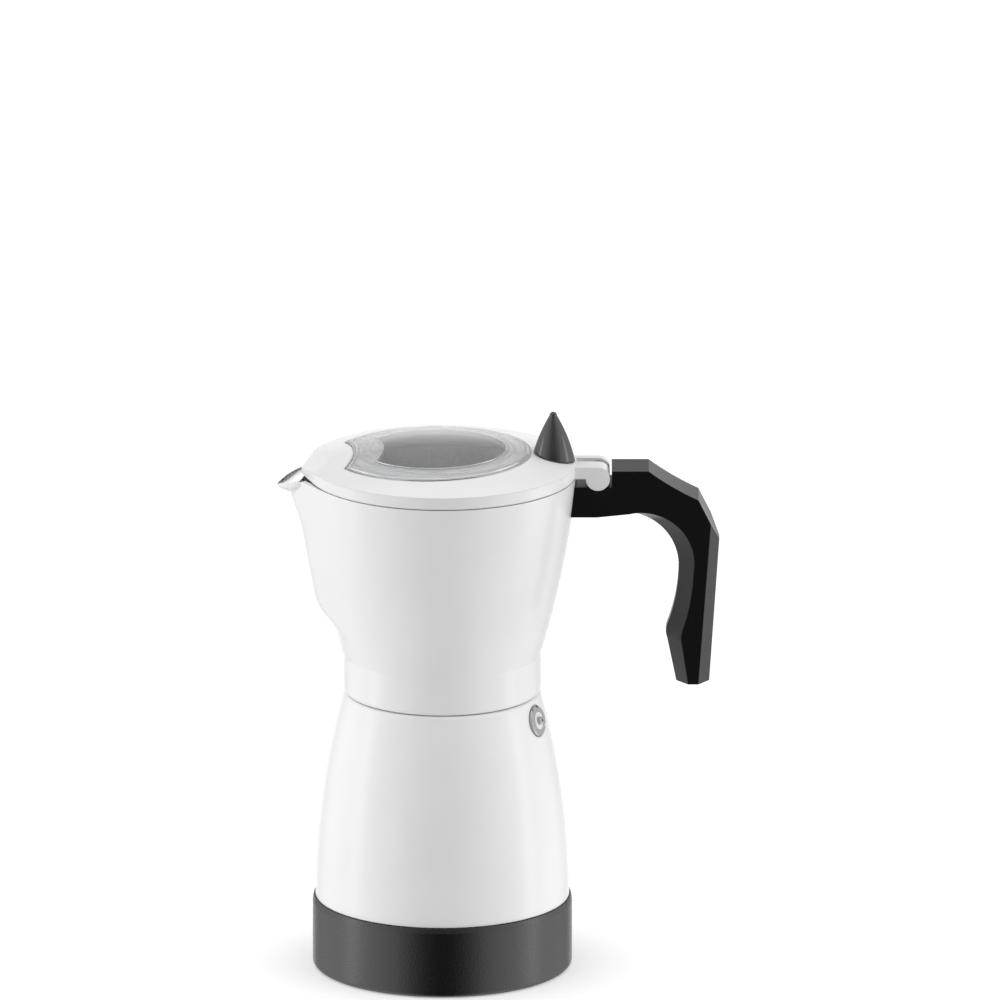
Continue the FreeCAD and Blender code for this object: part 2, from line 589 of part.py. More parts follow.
def make_valve_bush():
    return valve_piece(
        "valve_bush",
        [
            ("valve_pin_radius + pin_gap", BUSH_FOOT),
            ("valve_bush_radius", BUSH_FOOT),
            ("valve_bush_radius", FLANGE_TOP),
            ("valve_pin_radius + pin_gap", FLANGE_TOP),
        ],
    )


def make_valve_pin():
    top = f"{FLANGE_TOP} + valve_pin_stand"
    return valve_piece(
        "valve_pin",
        [
            ("0", VALVE_SEAT),
            ("valve_poppet_radius", VALVE_SEAT),
            ("valve_poppet_radius", f"{VALVE_SEAT} + valve_poppet_height"),
            ("valve_pin_radius", f"{VALVE_SEAT} + valve_poppet_height"),
            ("valve_pin_radius", f"{top} - valve_pin_hole_radius"),
            ("valve_pin_radius - valve_pin_hole_radius", top),
            ("valve_pin_hole_radius", top),
            ("valve_pin_hole_radius", f"{top} - valve_pin_stand"),
            ("0", f"{top} - valve_pin_stand"),
        ],
    )


def make_valve_spring():
    """The closed coil of the spring between the poppet and the bush."""
    inner = "valve_pin_radius + 2 * pin_gap"
    return valve_piece(
        "valve_spring",
        [
            (inner, f"{VALVE_SEAT} + valve_poppet_height"),
            (f"{inner} + valve_spring_wire", f"{VALVE_SEAT} + valve_poppet_height"),
            (f"{inner} + valve_spring_wire", BUSH_FOOT),
            (inner, BUSH_FOOT),
        ],
    )


# Base: housing, cover, seal and fasteners
def make_base_housing():
    inner = "(base_radius - base_wall)"
    ledge = "(base_height - seal_rebate)"
    rest = "(cover_thickness + base_rest_height)"
    return turned(
        "base_housing",
        [
            (inner, "0"),
            ("base_radius - base_foot_round", "0", "base_foot_round", "left"),
            ("base_radius", "base_foot_round"),
            ("base_radius", "base_height - base_bevel_height"),
            ("base_radius - base_bevel_depth", "base_height"),
            ("base_radius - base_bevel_depth - base_lip_width", "base_height"),
            ("base_radius - base_bevel_depth - base_lip_width", ledge),
            ("skirt_radius + skirt_gap", ledge),
            ("skirt_radius + skirt_gap", f"{ledge} - base_ledge_height"),
            (inner, f"{ledge} - base_ledge_height"),
            (inner, rest),
            (f"{inner} - base_rest_width", rest),
            (f"{inner} - base_rest_width", "cover_thickness"),
            (inner, "cover_thickness"),
        ],
    )


def make_base_seal():
    foot = "(base_height - seal_rebate)"
    outer = "(base_radius - base_bevel_depth - base_lip_width - cover_gap)"
    return turned(
        "base_seal",
        [
            ("skirt_radius + skirt_gap", foot),
            (outer, foot),
            (outer, BODY_FOOT),
            ("skirt_radius + skirt_gap", BODY_FOOT),
        ],
    )


def make_base_cover():
    disc = turned(
        "cover_disc",
        [
            ("socket_radius + socket_gap", "0"),
            ("base_radius - base_wall - cover_gap", "0"),
            ("base_radius - base_wall - cover_gap", "cover_thickness"),
            ("socket_radius + socket_gap", "cover_thickness"),
        ],
    )
    posts, holes = [], []
    for angle in SCREW_ANGLES:
        x, y = on_circle("boss_circle_radius", angle)
        hole = "screw_radius + hole_gap"
        posts.append(cylinder("post", f"{hole} + post_wall", "boss_foot_level", x, y))
        holes.append(cylinder("post_hole", hole, "boss_foot_level", x, y))
        holes.append(cylinder("post_sink", "screw_head_radius + hole_gap", "screw_sink_depth", x, y))
    for angle in SOCKET_SCREW_ANGLES:
        x, y = on_circle("socket_screw_place", angle)
        start = "cover_thickness - socket_screw_depth"
        bore = "socket_screw_radius + thread_gap"
        holes.append(cylinder("socket_bore", bore, "socket_screw_depth", x, y, start))
    return without("base_cover", fused("cover_blank", [disc, *posts]), holes)


def screw(name, x, y, head_foot, head_radius, head_height, shank_radius, shank_length):
    """A screw that points up, its head below its shank."""
    head = cylinder(name + "_head", head_radius, head_height, x, y, head_foot)
    foot = f"{head_foot} + {head_height}"
    shank = cylinder(name + "_shank", shank_radius, shank_length, x, y, foot)
    return fused(name, [head, shank])


def make_base_screws():
    screws = []
    for angle in SCREW_ANGLES:
        x, y = on_circle("boss_circle_radius", angle)
        length = "boss_foot_level - screw_sink_depth + base_screw_reach"
        foot = "screw_sink_depth - screw_head_height"
        screws.append(
            screw("base_screw", x, y, foot, "screw_head_radius", "screw_head_height", "screw_radius", length)
        )
    return grouped("base_screws", screws)


# Heater under the tank
def make_heater_plate():
    plate = cylinder("heater_disc", "heater_radius", "heater_thickness", z=HEATER_UNDERSIDE)
    x, y = on_circle("earth_stud_circle", EARTH_ANGLE)
    foot = f"{HEATER_UNDERSIDE} - earth_stud_length"
    length = "earth_stud_length + heater_thickness / 2"
    stud = cylinder("earth_stud", "earth_stud_radius", length, x, y, foot)
    return fused("heater_plate", [plate, stud])


def make_heating_element():
    """An open ring with a flat top, half round below, and a pin at each end. The arc's radius is a touch over
    half the width, so that it stays an arc at every size."""
    low = f"{HEATER_UNDERSIDE} - element_flat_depth"
    ring = turned(
        "element_ring",
        [
            ("element_circle_radius - element_half_width", low, "1.002 * element_half_width", "left"),
            ("element_circle_radius + element_half_width", low),
            ("element_circle_radius + element_half_width", HEATER_UNDERSIDE),
            ("element_circle_radius - element_half_width", HEATER_UNDERSIDE),
        ],
        360 - size("element_gap_angle"),
    )
    ring.Placement = Placement(Vector(), Rotation(Vector(0, 0, 1), 90 + size("element_gap_angle") / 2))
    pins = []
    for side in (1, -1):
        x, y = element_end(side)
        length = f"{low} - element_pin_level"
        pins.append(cylinder("element_pin", "element_pin_radius", length, x, y, "element_pin_level"))
    return fused("heating_element", [ring, *pins])


def element_end(side):
    """The middle of one end pin of the heating element."""
    inset = "(element_pin_radius / element_circle_radius * 180 / pi)"
    return on_circle("element_circle_radius", f"90 + {side} * (element_gap_angle / 2 + {inset})")


def make_thermostat():
    low = f"{HEATER_UNDERSIDE} - thermostat_height"
    case = cylinder("thermostat_case", "thermostat_radius", "thermostat_height", z=low)
    flange = cylinder(
        "thermostat_flange",
        "thermostat_flange_radius",
        "thermostat_flange_thickness",
        z=f"{HEATER_UNDERSIDE} - thermostat_flange_thickness",
    )
    blades = []
    for side in (1, -1):
        x = f"{side} * blade_place - blade_thickness / 2"
        foot = f"{low} - blade_length"
        length = "blade_length + thermostat_height / 2"
        blades.append(
            box("thermostat_blade", "blade_thickness", "blade_width", length, x, "-blade_width / 2", foot)
        )
    return fused("thermostat", [case, flange, *blades])


def lying_cylinder(name, radius, length, x, z):
    """A cylinder along X in the plane of the thermostat's blades."""
    made = doc.addObject("Part::Cylinder", name)
    made.setExpression("Radius", bound(radius))
    made.setExpression("Height", bound(length))
    made.Placement = Placement(Vector(size(x), 0, size(z)), Rotation(Vector(0, 1, 0), 90))
    return made


FUSE_LEVEL = f"({HEATER_UNDERSIDE} - fuse_radius - thread_gap)"


def make_thermal_fuse():
    return lying_cylinder("thermal_fuse", "fuse_radius", "fuse_length", "fuse_start", FUSE_LEVEL)


def make_fuse_clip():
    """A saddle that holds the fuse against the heater plate."""
    inner = "(fuse_radius + thread_gap)"
    outer = f"({inner} + fuse_clip_wall)"
    start = "fuse_start + (fuse_length - fuse_clip_width) / 2"
    foot = f"{FUSE_LEVEL} - {outer}"
    height = f"{outer} + {inner}"
    saddle = box("fuse_saddle", "fuse_clip_width", f"2 * {outer}", height, start, f"-{outer}", foot)
    groove = lying_cylinder("fuse_groove", inner, "fuse_length", "fuse_start", FUSE_LEVEL)
    mouth = box("fuse_mouth", "fuse_length", f"2 * {inner}", inner, "fuse_start", f"-{inner}", FUSE_LEVEL)
    return without("fuse_clip", saddle, [groove, mouth])


# Power socket in the middle of the cover
SOCKET_SCREW_ANGLES = (0, 180)
TAB_ANGLES = {"live": 180, "neutral": 110, "earth": 250}
EARTH_ANGLE = 250


def make_coupler_socket():
    roof = "socket_bore_depth"
    body = turned(
        "socket_blank",
        [
            ("contact_pin_radius", "socket_post_recess"),
            ("socket_post_radius", "socket_post_recess"),
            ("socket_post_radius", roof),
            ("socket_bore_radius", roof),
            ("socket_bore_radius", "0"),
            ("socket_radius", "0"),
            ("socket_radius", "cover_thickness"),
            ("socket_flange_radius", "cover_thickness"),
            ("socket_flange_radius", "cover_thickness + socket_flange_thickness"),
            ("socket_radius", "cover_thickness + socket_flange_thickness"),
            ("socket_radius", "socket_height"),
            ("contact_pin_radius", "socket_height"),
        ],
    )
    holes = []
    for angle in SOCKET_SCREW_ANGLES:
        x, y = on_circle("socket_screw_place", angle)
        radius = "socket_screw_radius + hole_gap"
        holes.append(cylinder("socket_hole", radius, "socket_flange_thickness", x, y, "cover_thickness"))
    return without("coupler_socket", body, holes)


def make_coupler_contacts():
    """Two contact rings and the earth contact in the recess, and the three tabs on top."""
    members = []
    for radius in ("contact_inner_radius", "contact_outer_radius"):
        foot = "(socket_bore_depth - contact_height)"
        members.append(
            turned(
                "contact_ring",
                [
                    (radius, foot),
                    (f"{radius} + contact_thickness", foot),
                    (f"{radius} + contact_thickness", "socket_bore_depth"),
                    (radius, "socket_bore_depth"),
                ],
            )
        )
    length = "socket_height - socket_post_recess"
    members.append(cylinder("earth_contact", "contact_pin_radius", length, z="socket_post_recess"))
    for angle in TAB_ANGLES.values():
        x, y = on_circle("socket_tab_place", angle)
        members.append(cylinder("socket_tab", "lead_radius", "socket_tab_height", x, y, "socket_height"))
    return grouped("coupler_contacts", members)


def make_socket_screws():
    screws = []
    for angle in SOCKET_SCREW_ANGLES:
        x, y = on_circle("socket_screw_place", angle)
        top = "(cover_thickness + socket_flange_thickness)"
        start = "(cover_thickness - socket_screw_depth)"
        shank = cylinder("socket_screw_shank", "socket_screw_radius", f"{top} - {start}", x, y, start)
        head = cylinder("socket_screw_head", "2 * socket_screw_radius", "socket_screw_radius", x, y, top)
        screws.append(fused("socket_screw", [shank, head]))
    return grouped("socket_screws", screws)


# Leads inside the base
def bent_path(points, bend):
    """Straight runs joined by tangent arcs."""
    edges, start = [], points[0]
    for before, corner, after in zip(points, points[1:], points[2:]):
        back, ahead = (before - corner).normalize(), (after - corner).normalize()
        half = back.getAngle(ahead) / 2
        leg = bend / math.tan(half)
        entry, leaving = corner + back * leg, corner + ahead * leg
        toward = (back + ahead).normalize()
        middle = corner + toward * (bend / math.sin(half) - bend)
        edges.append(Part.LineSegment(start, entry).toShape())
        edges.append(Part.Arc(entry, middle, leaving).toShape())
        start = leaving
    edges.append(Part.LineSegment(start, points[-1]).toShape())
    return Part.Wire(edges)


def lead(points, radius, bend):
    """A round wire along the points."""
    path = bent_path(points, bend)
    way = points[1] - points[0]
    ring = Part.Wire([Part.makeCircle(radius, points[0], way)])
    return path.makePipeShell([ring], True, False)


def level_point(expressions, level):
    """A point from a pair of x and y expressions and a height."""
    return Vector(size(expressions[0]), size(expressions[1]), level)


def make_lead_wires():
    across, bend = size("lead_level"), size("lead_bend_radius")
    radius, thin = size("lead_radius"), size("fuse_lead_radius")
    tab_top = size("socket_height + socket_tab_height")
    blade_face = size("blade_place + blade_thickness / 2")
    blade_low = size(f"{HEATER_UNDERSIDE} - thermostat_height - blade_length")
    blade_level = blade_low + 1.5 * radius
    pin_level = size("element_pin_level")
    tabs = {name: on_circle("socket_tab_place", angle) for name, angle in TAB_ANGLES.items()}
    stud = on_circle("earth_stud_circle", EARTH_ANGLE)
    stud_foot = size(f"{HEATER_UNDERSIDE} - earth_stud_length")
    neutral_end, fuse_end = element_end(1), element_end(-1)
    live = [
        level_point(tabs["live"], tab_top),
        level_point(tabs["live"], blade_level),
        Vector(-blade_face, 0, blade_level),
    ]
    neutral = [
        level_point(tabs["neutral"], tab_top),
        level_point(tabs["neutral"], across),
        level_point(neutral_end, across),
        level_point(neutral_end, pin_level),
    ]
    earth = [
        level_point(tabs["earth"], tab_top),
        level_point(tabs["earth"], across),
        level_point(stud, across),
        level_point(stud, stud_foot),
    ]
    fuse_level = size(FUSE_LEVEL)
    fuse_start, fuse_stop = size("fuse_start"), size("fuse_start + fuse_length")
    drop = (blade_face + fuse_start) / 2
    jumper = [
        Vector(blade_face, 0, blade_level),
        Vector(drop, 0, blade_level),
        Vector(drop, 0, fuse_level),
        Vector(fuse_start, 0, fuse_level),
    ]
    fuse_lead = [
        Vector(fuse_stop, 0, fuse_level - size("fuse_radius") - thin),
        Vector(fuse_stop, 0, across),
        level_point(fuse_end, across),
        level_point(fuse_end, pin_level),
    ]
    solids = [lead(route, radius, min(bend, (across - tab_top) * 0.9)) for route in (live, neutral, earth)]
    solids.append(lead(jumper, thin, 2 * thin))
    solids.append(lead(fuse_lead, thin, 3 * thin))
    return shaped("lead_wires", Part.makeCompound(solids))


# Funnel with its tube and sieve
def make_funnel_cup():
    inner = "(funnel_radius - funnel_wall)"
    low_outer = "(funnel_radius - funnel_step_size)"
    low_inner = f"({inner} - funnel_step_size)"
    step = f"({FUNNEL_TOP} - funnel_step_depth)"
    groove = f"({CUP_FLOOR} + funnel_groove_rise)"
    sieve_floor = f"({CUP_FLOOR} + funnel_wall)"
    bore = "(collar_radius - collar_wall)"
    return turned(
        "funnel_cup",
        [
            (bore, f"{CONE_FOOT} - collar_length"),
            ("collar_radius", f"{CONE_FOOT} - collar_length"),
            ("collar_radius", CONE_FOOT),
            (f"{low_outer} - funnel_wall", CUP_FLOOR, "funnel_wall", "left"),
            (low_outer, f"{CUP_FLOOR} + funnel_wall"),
            (low_outer, f"{groove} - funnel_groove_size"),
            (f"{low_outer} - funnel_groove_size / 2", groove),
            (low_outer, f"{groove} + funnel_groove_size"),
            (low_outer, f"{step} - funnel_step_size"),
            ("funnel_radius", step),
            ("funnel_radius", f"{FUNNEL_TOP} - funnel_flange_thickness"),
            ("funnel_flange_radius", f"{FUNNEL_TOP} - funnel_flange_thickness"),
            ("funnel_flange_radius", FUNNEL_TOP),
            (inner, FUNNEL_TOP),
            (inner, step),
            (low_inner, f"{step} - funnel_step_size"),
            (low_inner, sieve_floor),
            (f"{low_inner} - sieve_ledge", sieve_floor),
            (bore, f"{CONE_FOOT} + funnel_wall"),
        ],
    )


def make_funnel_tube():
    inner = "(collar_radius + tube_gap)"
    outer = f"({inner} + tube_wall)"
    top = f"({CONE_FOOT} - tube_start)"
    foot = f"({FUNNEL_TOP} - tube_depth)"
    return turned(
        "funnel_tube",
        [
            (inner, foot),
            (outer, foot),
            (outer, f"{top} - 2 * tube_bead_size"),
            (f"{outer} + tube_bead_size", f"{top} - tube_bead_size"),
            (outer, top),
            (inner, top),
        ],
    )


def ring_of_holes(name, count, ring_radius, hole_radius, foot, thickness):
    """Small cylinders spaced evenly on a circle."""
    holes = []
    for number in range(count):
        x, y = on_circle(ring_radius, f"{360 * number / count:.4f}")
        holes.append(cylinder(name, hole_radius, thickness, x, y, foot))
    return holes


def perforated(label, blank, rings, field_radius, hole_radius, foot, thickness, first=1):
    """The blank with rings of holes, each with HOLES_PER_STEP more holes than the ring inside it."""
    holes = []
    for ring in range(first, rings + 1):
        count = round(HOLES_PER_STEP * ring)
        ring_radius = f"{field_radius} * {ring} / {rings}"
        holes += ring_of_holes(label + "_hole", count, ring_radius, hole_radius, foot, thickness)
    return without(label, blank, holes)


def make_funnel_sieve():
    foot = f"({CUP_FLOOR} + funnel_wall)"
    radius = "funnel_radius - funnel_wall - funnel_step_size - sieve_gap"
    disc = cylinder("sieve_disc", radius, "sieve_thickness", z=foot)
    return perforated(
        "funnel_sieve", disc, 3, "sieve_field_radius", "sieve_hole_radius", foot, "sieve_thickness"
    )


def make_filter_plate():
    disc = cylinder("filter_disc", "filter_radius", "filter_thickness", z=FUNNEL_TOP)
    tab = box(
        "filter_tab",
        "filter_tab_width",
        "filter_tab_thickness",
        "filter_tab_height + filter_thickness / 2",
        "-filter_tab_width / 2",
        "-filter_tab_thickness / 2",
        f"{FUNNEL_TOP} + filter_thickness / 2",
    )
    blank = fused("filter_blank", [disc, tab])
    return perforated(
        "filter_plate",
        blank,
        8,
        "filter_field_radius",
        "filter_hole_radius",
        FUNNEL_TOP,
        "filter_thickness",
        first=3,
    )


def make_gasket():
    return turned(
        "gasket",
        [
            ("gasket_bore_radius", "rim_level"),
            ("gasket_radius", "rim_level"),
            ("gasket_radius", "rim_level + gasket_thickness"),
            ("gasket_bore_radius", "rim_level + gasket_thickness"),
        ],
    )


# Jug. From here on, heights are counted from the jug's foot, and JUG_PLACE lifts the piece to it
def jug_place():
    return Placement(Vector(0, 0, size(JUG_FOOT)), Rotation())


def jug_radius(height):
    """Radius of the round body: a parabola through its foot, middle and rim."""
    known = [
        (size("jug_collar_height"), size("jug_foot_radius")),
        (size("jug_middle_height"), size("jug_middle_radius")),
        (size("jug_height"), size("jug_rim_radius")),
    ]
    total = 0
    for own_height, own_radius in known:
        share = own_radius
        for other_height, _ in known:
            if other_height != own_height:
                share *= (height - other_height) / (own_height - other_height)
        total += share
    return total


def teardrop(radius, reach, nose_radius, level):
    """Outline of a round body and a smaller nose towards -X, joined by their common tangents."""
    nose_place = reach - nose_radius
    spread = math.acos((radius - nose_radius) / nose_place)
    away = Vector(-math.cos(spread), math.sin(spread), 0)
    mirrored = Vector(away.x, -away.y, 0)
    nose = Vector(-nose_place, 0, 0)
    lift = Vector(0, 0, level)
    body_back, body_front = away * radius + lift, mirrored * radius + lift
    nose_back, nose_front = nose + away * nose_radius + lift, nose + mirrored * nose_radius + lift
    return Part.Wire(
        [
            Part.Arc(body_front, Vector(radius, 0, level), body_back).toShape(),
            Part.LineSegment(body_back, nose_back).toShape(),
            Part.Arc(nose_back, Vector(-reach, 0, level), nose_front).toShape(),
            Part.LineSegment(nose_front, body_front).toShape(),
        ]
    )


def smooth(height, low, high):
    """Rises gently from 0 at low to 1 at high."""
    share = min(max((height - low) / (high - low), 0), 1)
    return share * share * (3 - 2 * share)


def jug_outline(height, inset):
    """Level outline of the jug's outside, drawn in by inset. The nose is as wide as its reach asks for,
    so that its sides leave the round body at the same angle all the way up."""
    belly, trace = size("belly_reach"), size("belly_trace")
    foot, full = size("belly_foot_height"), size("belly_full_height")
    upper, rim = size("belly_upper_height"), size("jug_height")
    beyond = trace + (belly - trace) * smooth(height, foot, full)
    beyond += (size("lip_nose_reach") - belly) * smooth(height, upper, rim)
    radius = jug_radius(min(height, rim))
    lean = math.cos(math.radians(size("belly_spread")))
    nose_radius = radius - beyond * lean / (1 - lean)
    return teardrop(radius - inset, radius + beyond - inset, nose_radius - inset, height)


def jug_loft(inset, bottom, top):
    """The jug's outer form drawn in by inset, from bottom to top."""
    foot, full = size("belly_foot_height"), size("belly_full_height")
    upper, rim = size("belly_upper_height"), size("jug_height")
    heights = [bottom, (bottom + foot) / 2]
    for low, high, steps in ((foot, full, 4), (full, upper, 3), (upper, rim, 4)):
        heights += [low + (high - low) * step / steps for step in range(steps)]
    heights.append(rim)
    if top > rim:
        heights.append(top)
    return Part.makeLoft([jug_outline(height, inset) for height in heights], True, False)


# Powers of the way along the lip by which it falls, narrows and gets shallower
LIP_FALL_POWER = 1.5
LIP_WIDTH_POWER = 1.7
LIP_DEPTH_POWER = 3.0
LIP_SECTIONS = 6


def lip_edge(share):
    """The middle of the lip's edge, from 0 at its root to 1 at its tip."""
    place = size("lip_start") + share * size("lip_reach - lip_start")
    return Vector(-place, 0, size("jug_height") - share**LIP_FALL_POWER * size("lip_fall"))


def lip_section(share, wall):
    """Section across the lip, drawn in by wall: half an ellipse, with upright sides above the lip's edge."""
    wide = size("lip_root_half_width") * (1 - share**LIP_WIDTH_POWER)
    wide += size("lip_tip_half_width") * share**LIP_WIDTH_POWER
    deep = size("lip_root_depth") * (1 - share**LIP_DEPTH_POWER)
    deep += size("lip_tip_depth") * share**LIP_DEPTH_POWER
    middle, up = lip_edge(share), Vector(0, 0, size("jug_wall"))
    back, front = middle + Vector(0, wide - wall, 0), middle - Vector(0, wide - wall, 0)
    ellipse = Part.Ellipse(back, middle - Vector(0, 0, deep - wall), middle)
    return Part.Wire(
        [
            Part.ArcOfEllipse(ellipse, 0, math.pi).toShape(),
            Part.LineSegment(front, front + up).toShape(),
            Part.LineSegment(front + up, back + up).toShape(),
            Part.LineSegment(back + up, back).toShape(),
        ]
    )


def lip_form(wall):
    """The spout's lip as a solid, drawn in by wall."""
    shares = [number / (LIP_SECTIONS - 1) for number in range(LIP_SECTIONS)]
    return Part.makeLoft([lip_section(share, wall) for share in shares], True, False)


def above_lip():
    """The space above the lip's edge."""
    root, tip = lip_edge(0), lip_edge(1)
    beyond, high = 2 * tip.x - root.x, root.z + size("lip_fall")
    low_corner, high_corner = Vector(beyond, 0, tip.z), Vector(beyond, 0, high)
    root_top = Vector(root.x, 0, high)
    outline = Part.Wire(
        [
            Part.Arc(root, lip_edge(0.5), tip).toShape(),
            Part.LineSegment(tip, low_corner).toShape(),
            Part.LineSegment(low_corner, high_corner).toShape(),
            Part.LineSegment(high_corner, root_top).toShape(),
            Part.LineSegment(root_top, root).toShape(),
        ]
    )
    half = size("jug_rim_radius")
    outline.translate(Vector(0, -half, 0))
    return Part.Face(outline).extrude(Vector(0, 2 * half, 0))


def make_jug_shell():
    collar = size("jug_collar_height")
    rim = size("jug_height")
    foot = size("jug_foot_radius")
    shoulder = size(f"rim_level + gasket_thickness - {JUG_FOOT}")
    floor = shoulder + size("jug_floor_thickness")
    wall = size("jug_wall")
    ring = Part.makeCylinder(foot, collar)
    edge = [e for e in ring.Edges if abs(e.BoundBox.ZMax) < 1e-6 and e.Closed]
    ring = ring.makeFillet(size("jug_foot_round"), edge)
    lug_span = size("lug_reach") - foot
    lug = Part.makeBox(
        lug_span,
        size("2 * lug_half_width"),
        size("lug_thickness"),
        Vector(foot, -size("lug_half_width"), size("lug_foot_height")),
    )
    outer = jug_loft(0, collar, rim).fuse([ring, lip_form(0), lug])
    cavity = jug_loft(wall, floor, rim + wall)
    thread = Part.makeCylinder(size("jug_thread_radius"), shoulder)
    rise = size("jug_dome_rise")
    spigot = size("riser_spigot_radius + thread_gap")
    dome = Part.makeCone(size("gasket_bore_radius"), spigot, rise, Vector(0, 0, shoulder))
    hole = Part.makeCylinder(spigot, floor)
    screw_hole = Part.makeCylinder(
        size("screw_radius + thread_gap"),
        size("lug_thickness"),
        Vector(size("handle_screw_place"), 0, size("lug_foot_height")),
    )
    trough = lip_form(size("lip_wall"))
    shell = outer.cut([cavity, above_lip(), trough, thread, dome, hole, screw_hole])
    return shaped("jug_shell", shell, jug_place())


def make_riser_column():
    floor = "(rim_level + gasket_thickness + jug_floor_thickness)"
    foot = "(rim_level + gasket_thickness + jug_dome_rise)"
    top = f"({floor} + riser_height)"
    column = turned(
        "riser_blank",
        [
            ("riser_bore_radius", foot),
            ("riser_spigot_radius", foot),
            ("riser_spigot_radius", floor),
            ("riser_radius", floor),
            ("riser_top_radius", top),
            ("riser_top_radius / 3", f"{top} + riser_dome"),
            ("0", f"{top} + riser_dome"),
            ("0", f"{top} + riser_dome / 4"),
            ("riser_bore_radius", top),
        ],
    )
    slot = box(
        "riser_slot",
        "riser_slot_width",
        "4 * riser_radius",
        "riser_slot_height",
        "-riser_slot_width / 2",
        "-2 * riser_radius",
        f"{top} - riser_slot_height",
    )
    return without("riser_column", column, [slot])


# Lid with its lugs, window, knob and fasteners
def lid_foot():
    return size("jug_height + lid_gap")


def dome_ball(offset):
    """The ball whose surface is the lid's dome moved up by offset."""
    edge, rise = size("jug_rim_radius"), size("lid_rise")
    radius = (edge**2 + rise**2) / (2 * rise)
    apex = lid_foot() + size("lid_edge_height") + rise
    return Part.makeSphere(radius + offset, Vector(0, 0, apex - radius))


def prism(wire, height):
    return Part.Face(wire).extrude(Vector(0, 0, height))


def lid_prism(inset, foot, height):
    radius = size("jug_rim_radius") - inset
    reach = size("lid_beak_reach") - inset
    nose = max(size("lid_beak_radius") - inset, 1)
    return prism(teardrop(radius, reach, nose, foot), height)


def bitten_prism(name, growth):
    """A tall round prism with a concave bite on the spout's side, grown by growth. The name says whose sizes
    it takes from the sheet: those of the window, or of the opening under it."""
    radius, shift = size(name + "_radius"), size(name + "_shift")
    bite_radius, bite_place = size(name + "_bite_radius"), size(name + "_bite_place")
    foot, height = lid_foot(), 4 * size("lid_edge_height + lid_rise")
    disc = Part.makeCylinder(radius + growth, height, Vector(-shift, 0, foot))
    bite_centre = Vector(-bite_place - bite_radius, 0, foot)
    return disc.cut(Part.makeCylinder(bite_radius - growth, height, bite_centre))


def lug_outline():
    """Side view of the lid's lugs: an arm at the top and a round knuckle at the pin."""
    place, level = size("hinge_place"), lid_foot()
    radius, corner = size("knuckle_radius"), size("knuckle_corner_radius")
    top = level + size("lid_edge_height")
    start = size("jug_rim_radius - lid_wall / 2")
    bevel = corner * (1 - math.sqrt(0.5))
    points = {
        "root_top": Vector(start, 0, top),
        "arm_end": Vector(place + radius - corner, 0, top),
        "corner": Vector(place + radius - bevel, 0, top - bevel),
        "side_top": Vector(place + radius, 0, top - corner),
        "side_low": Vector(place + radius, 0, level),
        "bottom": Vector(place, 0, level - radius),
        "inner": Vector(place - radius, 0, level),
        "root_low": Vector(start, 0, level),
    }
    return Part.Wire(
        [
            Part.LineSegment(points["root_top"], points["arm_end"]).toShape(),
            Part.Arc(points["arm_end"], points["corner"], points["side_top"]).toShape(),
            Part.LineSegment(points["side_top"], points["side_low"]).toShape(),
            Part.Arc(points["side_low"], points["bottom"], points["inner"]).toShape(),
            Part.LineSegment(points["inner"], points["root_low"]).toShape(),
            Part.LineSegment(points["root_low"], points["root_top"]).toShape(),
        ]
    )


def lug_solid(front, back):
    """A slice of the lug's outline from front to back along Y."""
    outline = lug_outline()
    outline.translate(Vector(0, front, 0))
    return Part.Face(outline).extrude(Vector(0, back - front, 0))


def across(radius, front, back, x, z):
    """A cylinder along Y."""
    return Part.makeCylinder(radius, back - front, Vector(x, front, z), Vector(0, 1, 0))


def above_beak():
    """The space above the lid's fall to its beak."""
    end = Vector(-size("lid_beak_reach"), lid_foot() + size("beak_end_height"), 0)
    start = Vector(-size("beak_fall_start"), dome_level(size("beak_fall_start")), 0)
    radius = size("beak_fall_radius")
    centre = arc_centre(end, start, radius, False)
    half = size("jug_rim_radius")
    block = Part.makeBox(half, 2 * half, half, Vector(start.x - half, -half, lid_foot()))
    return block.cut(across(radius, -half, half, centre.x, centre.y))


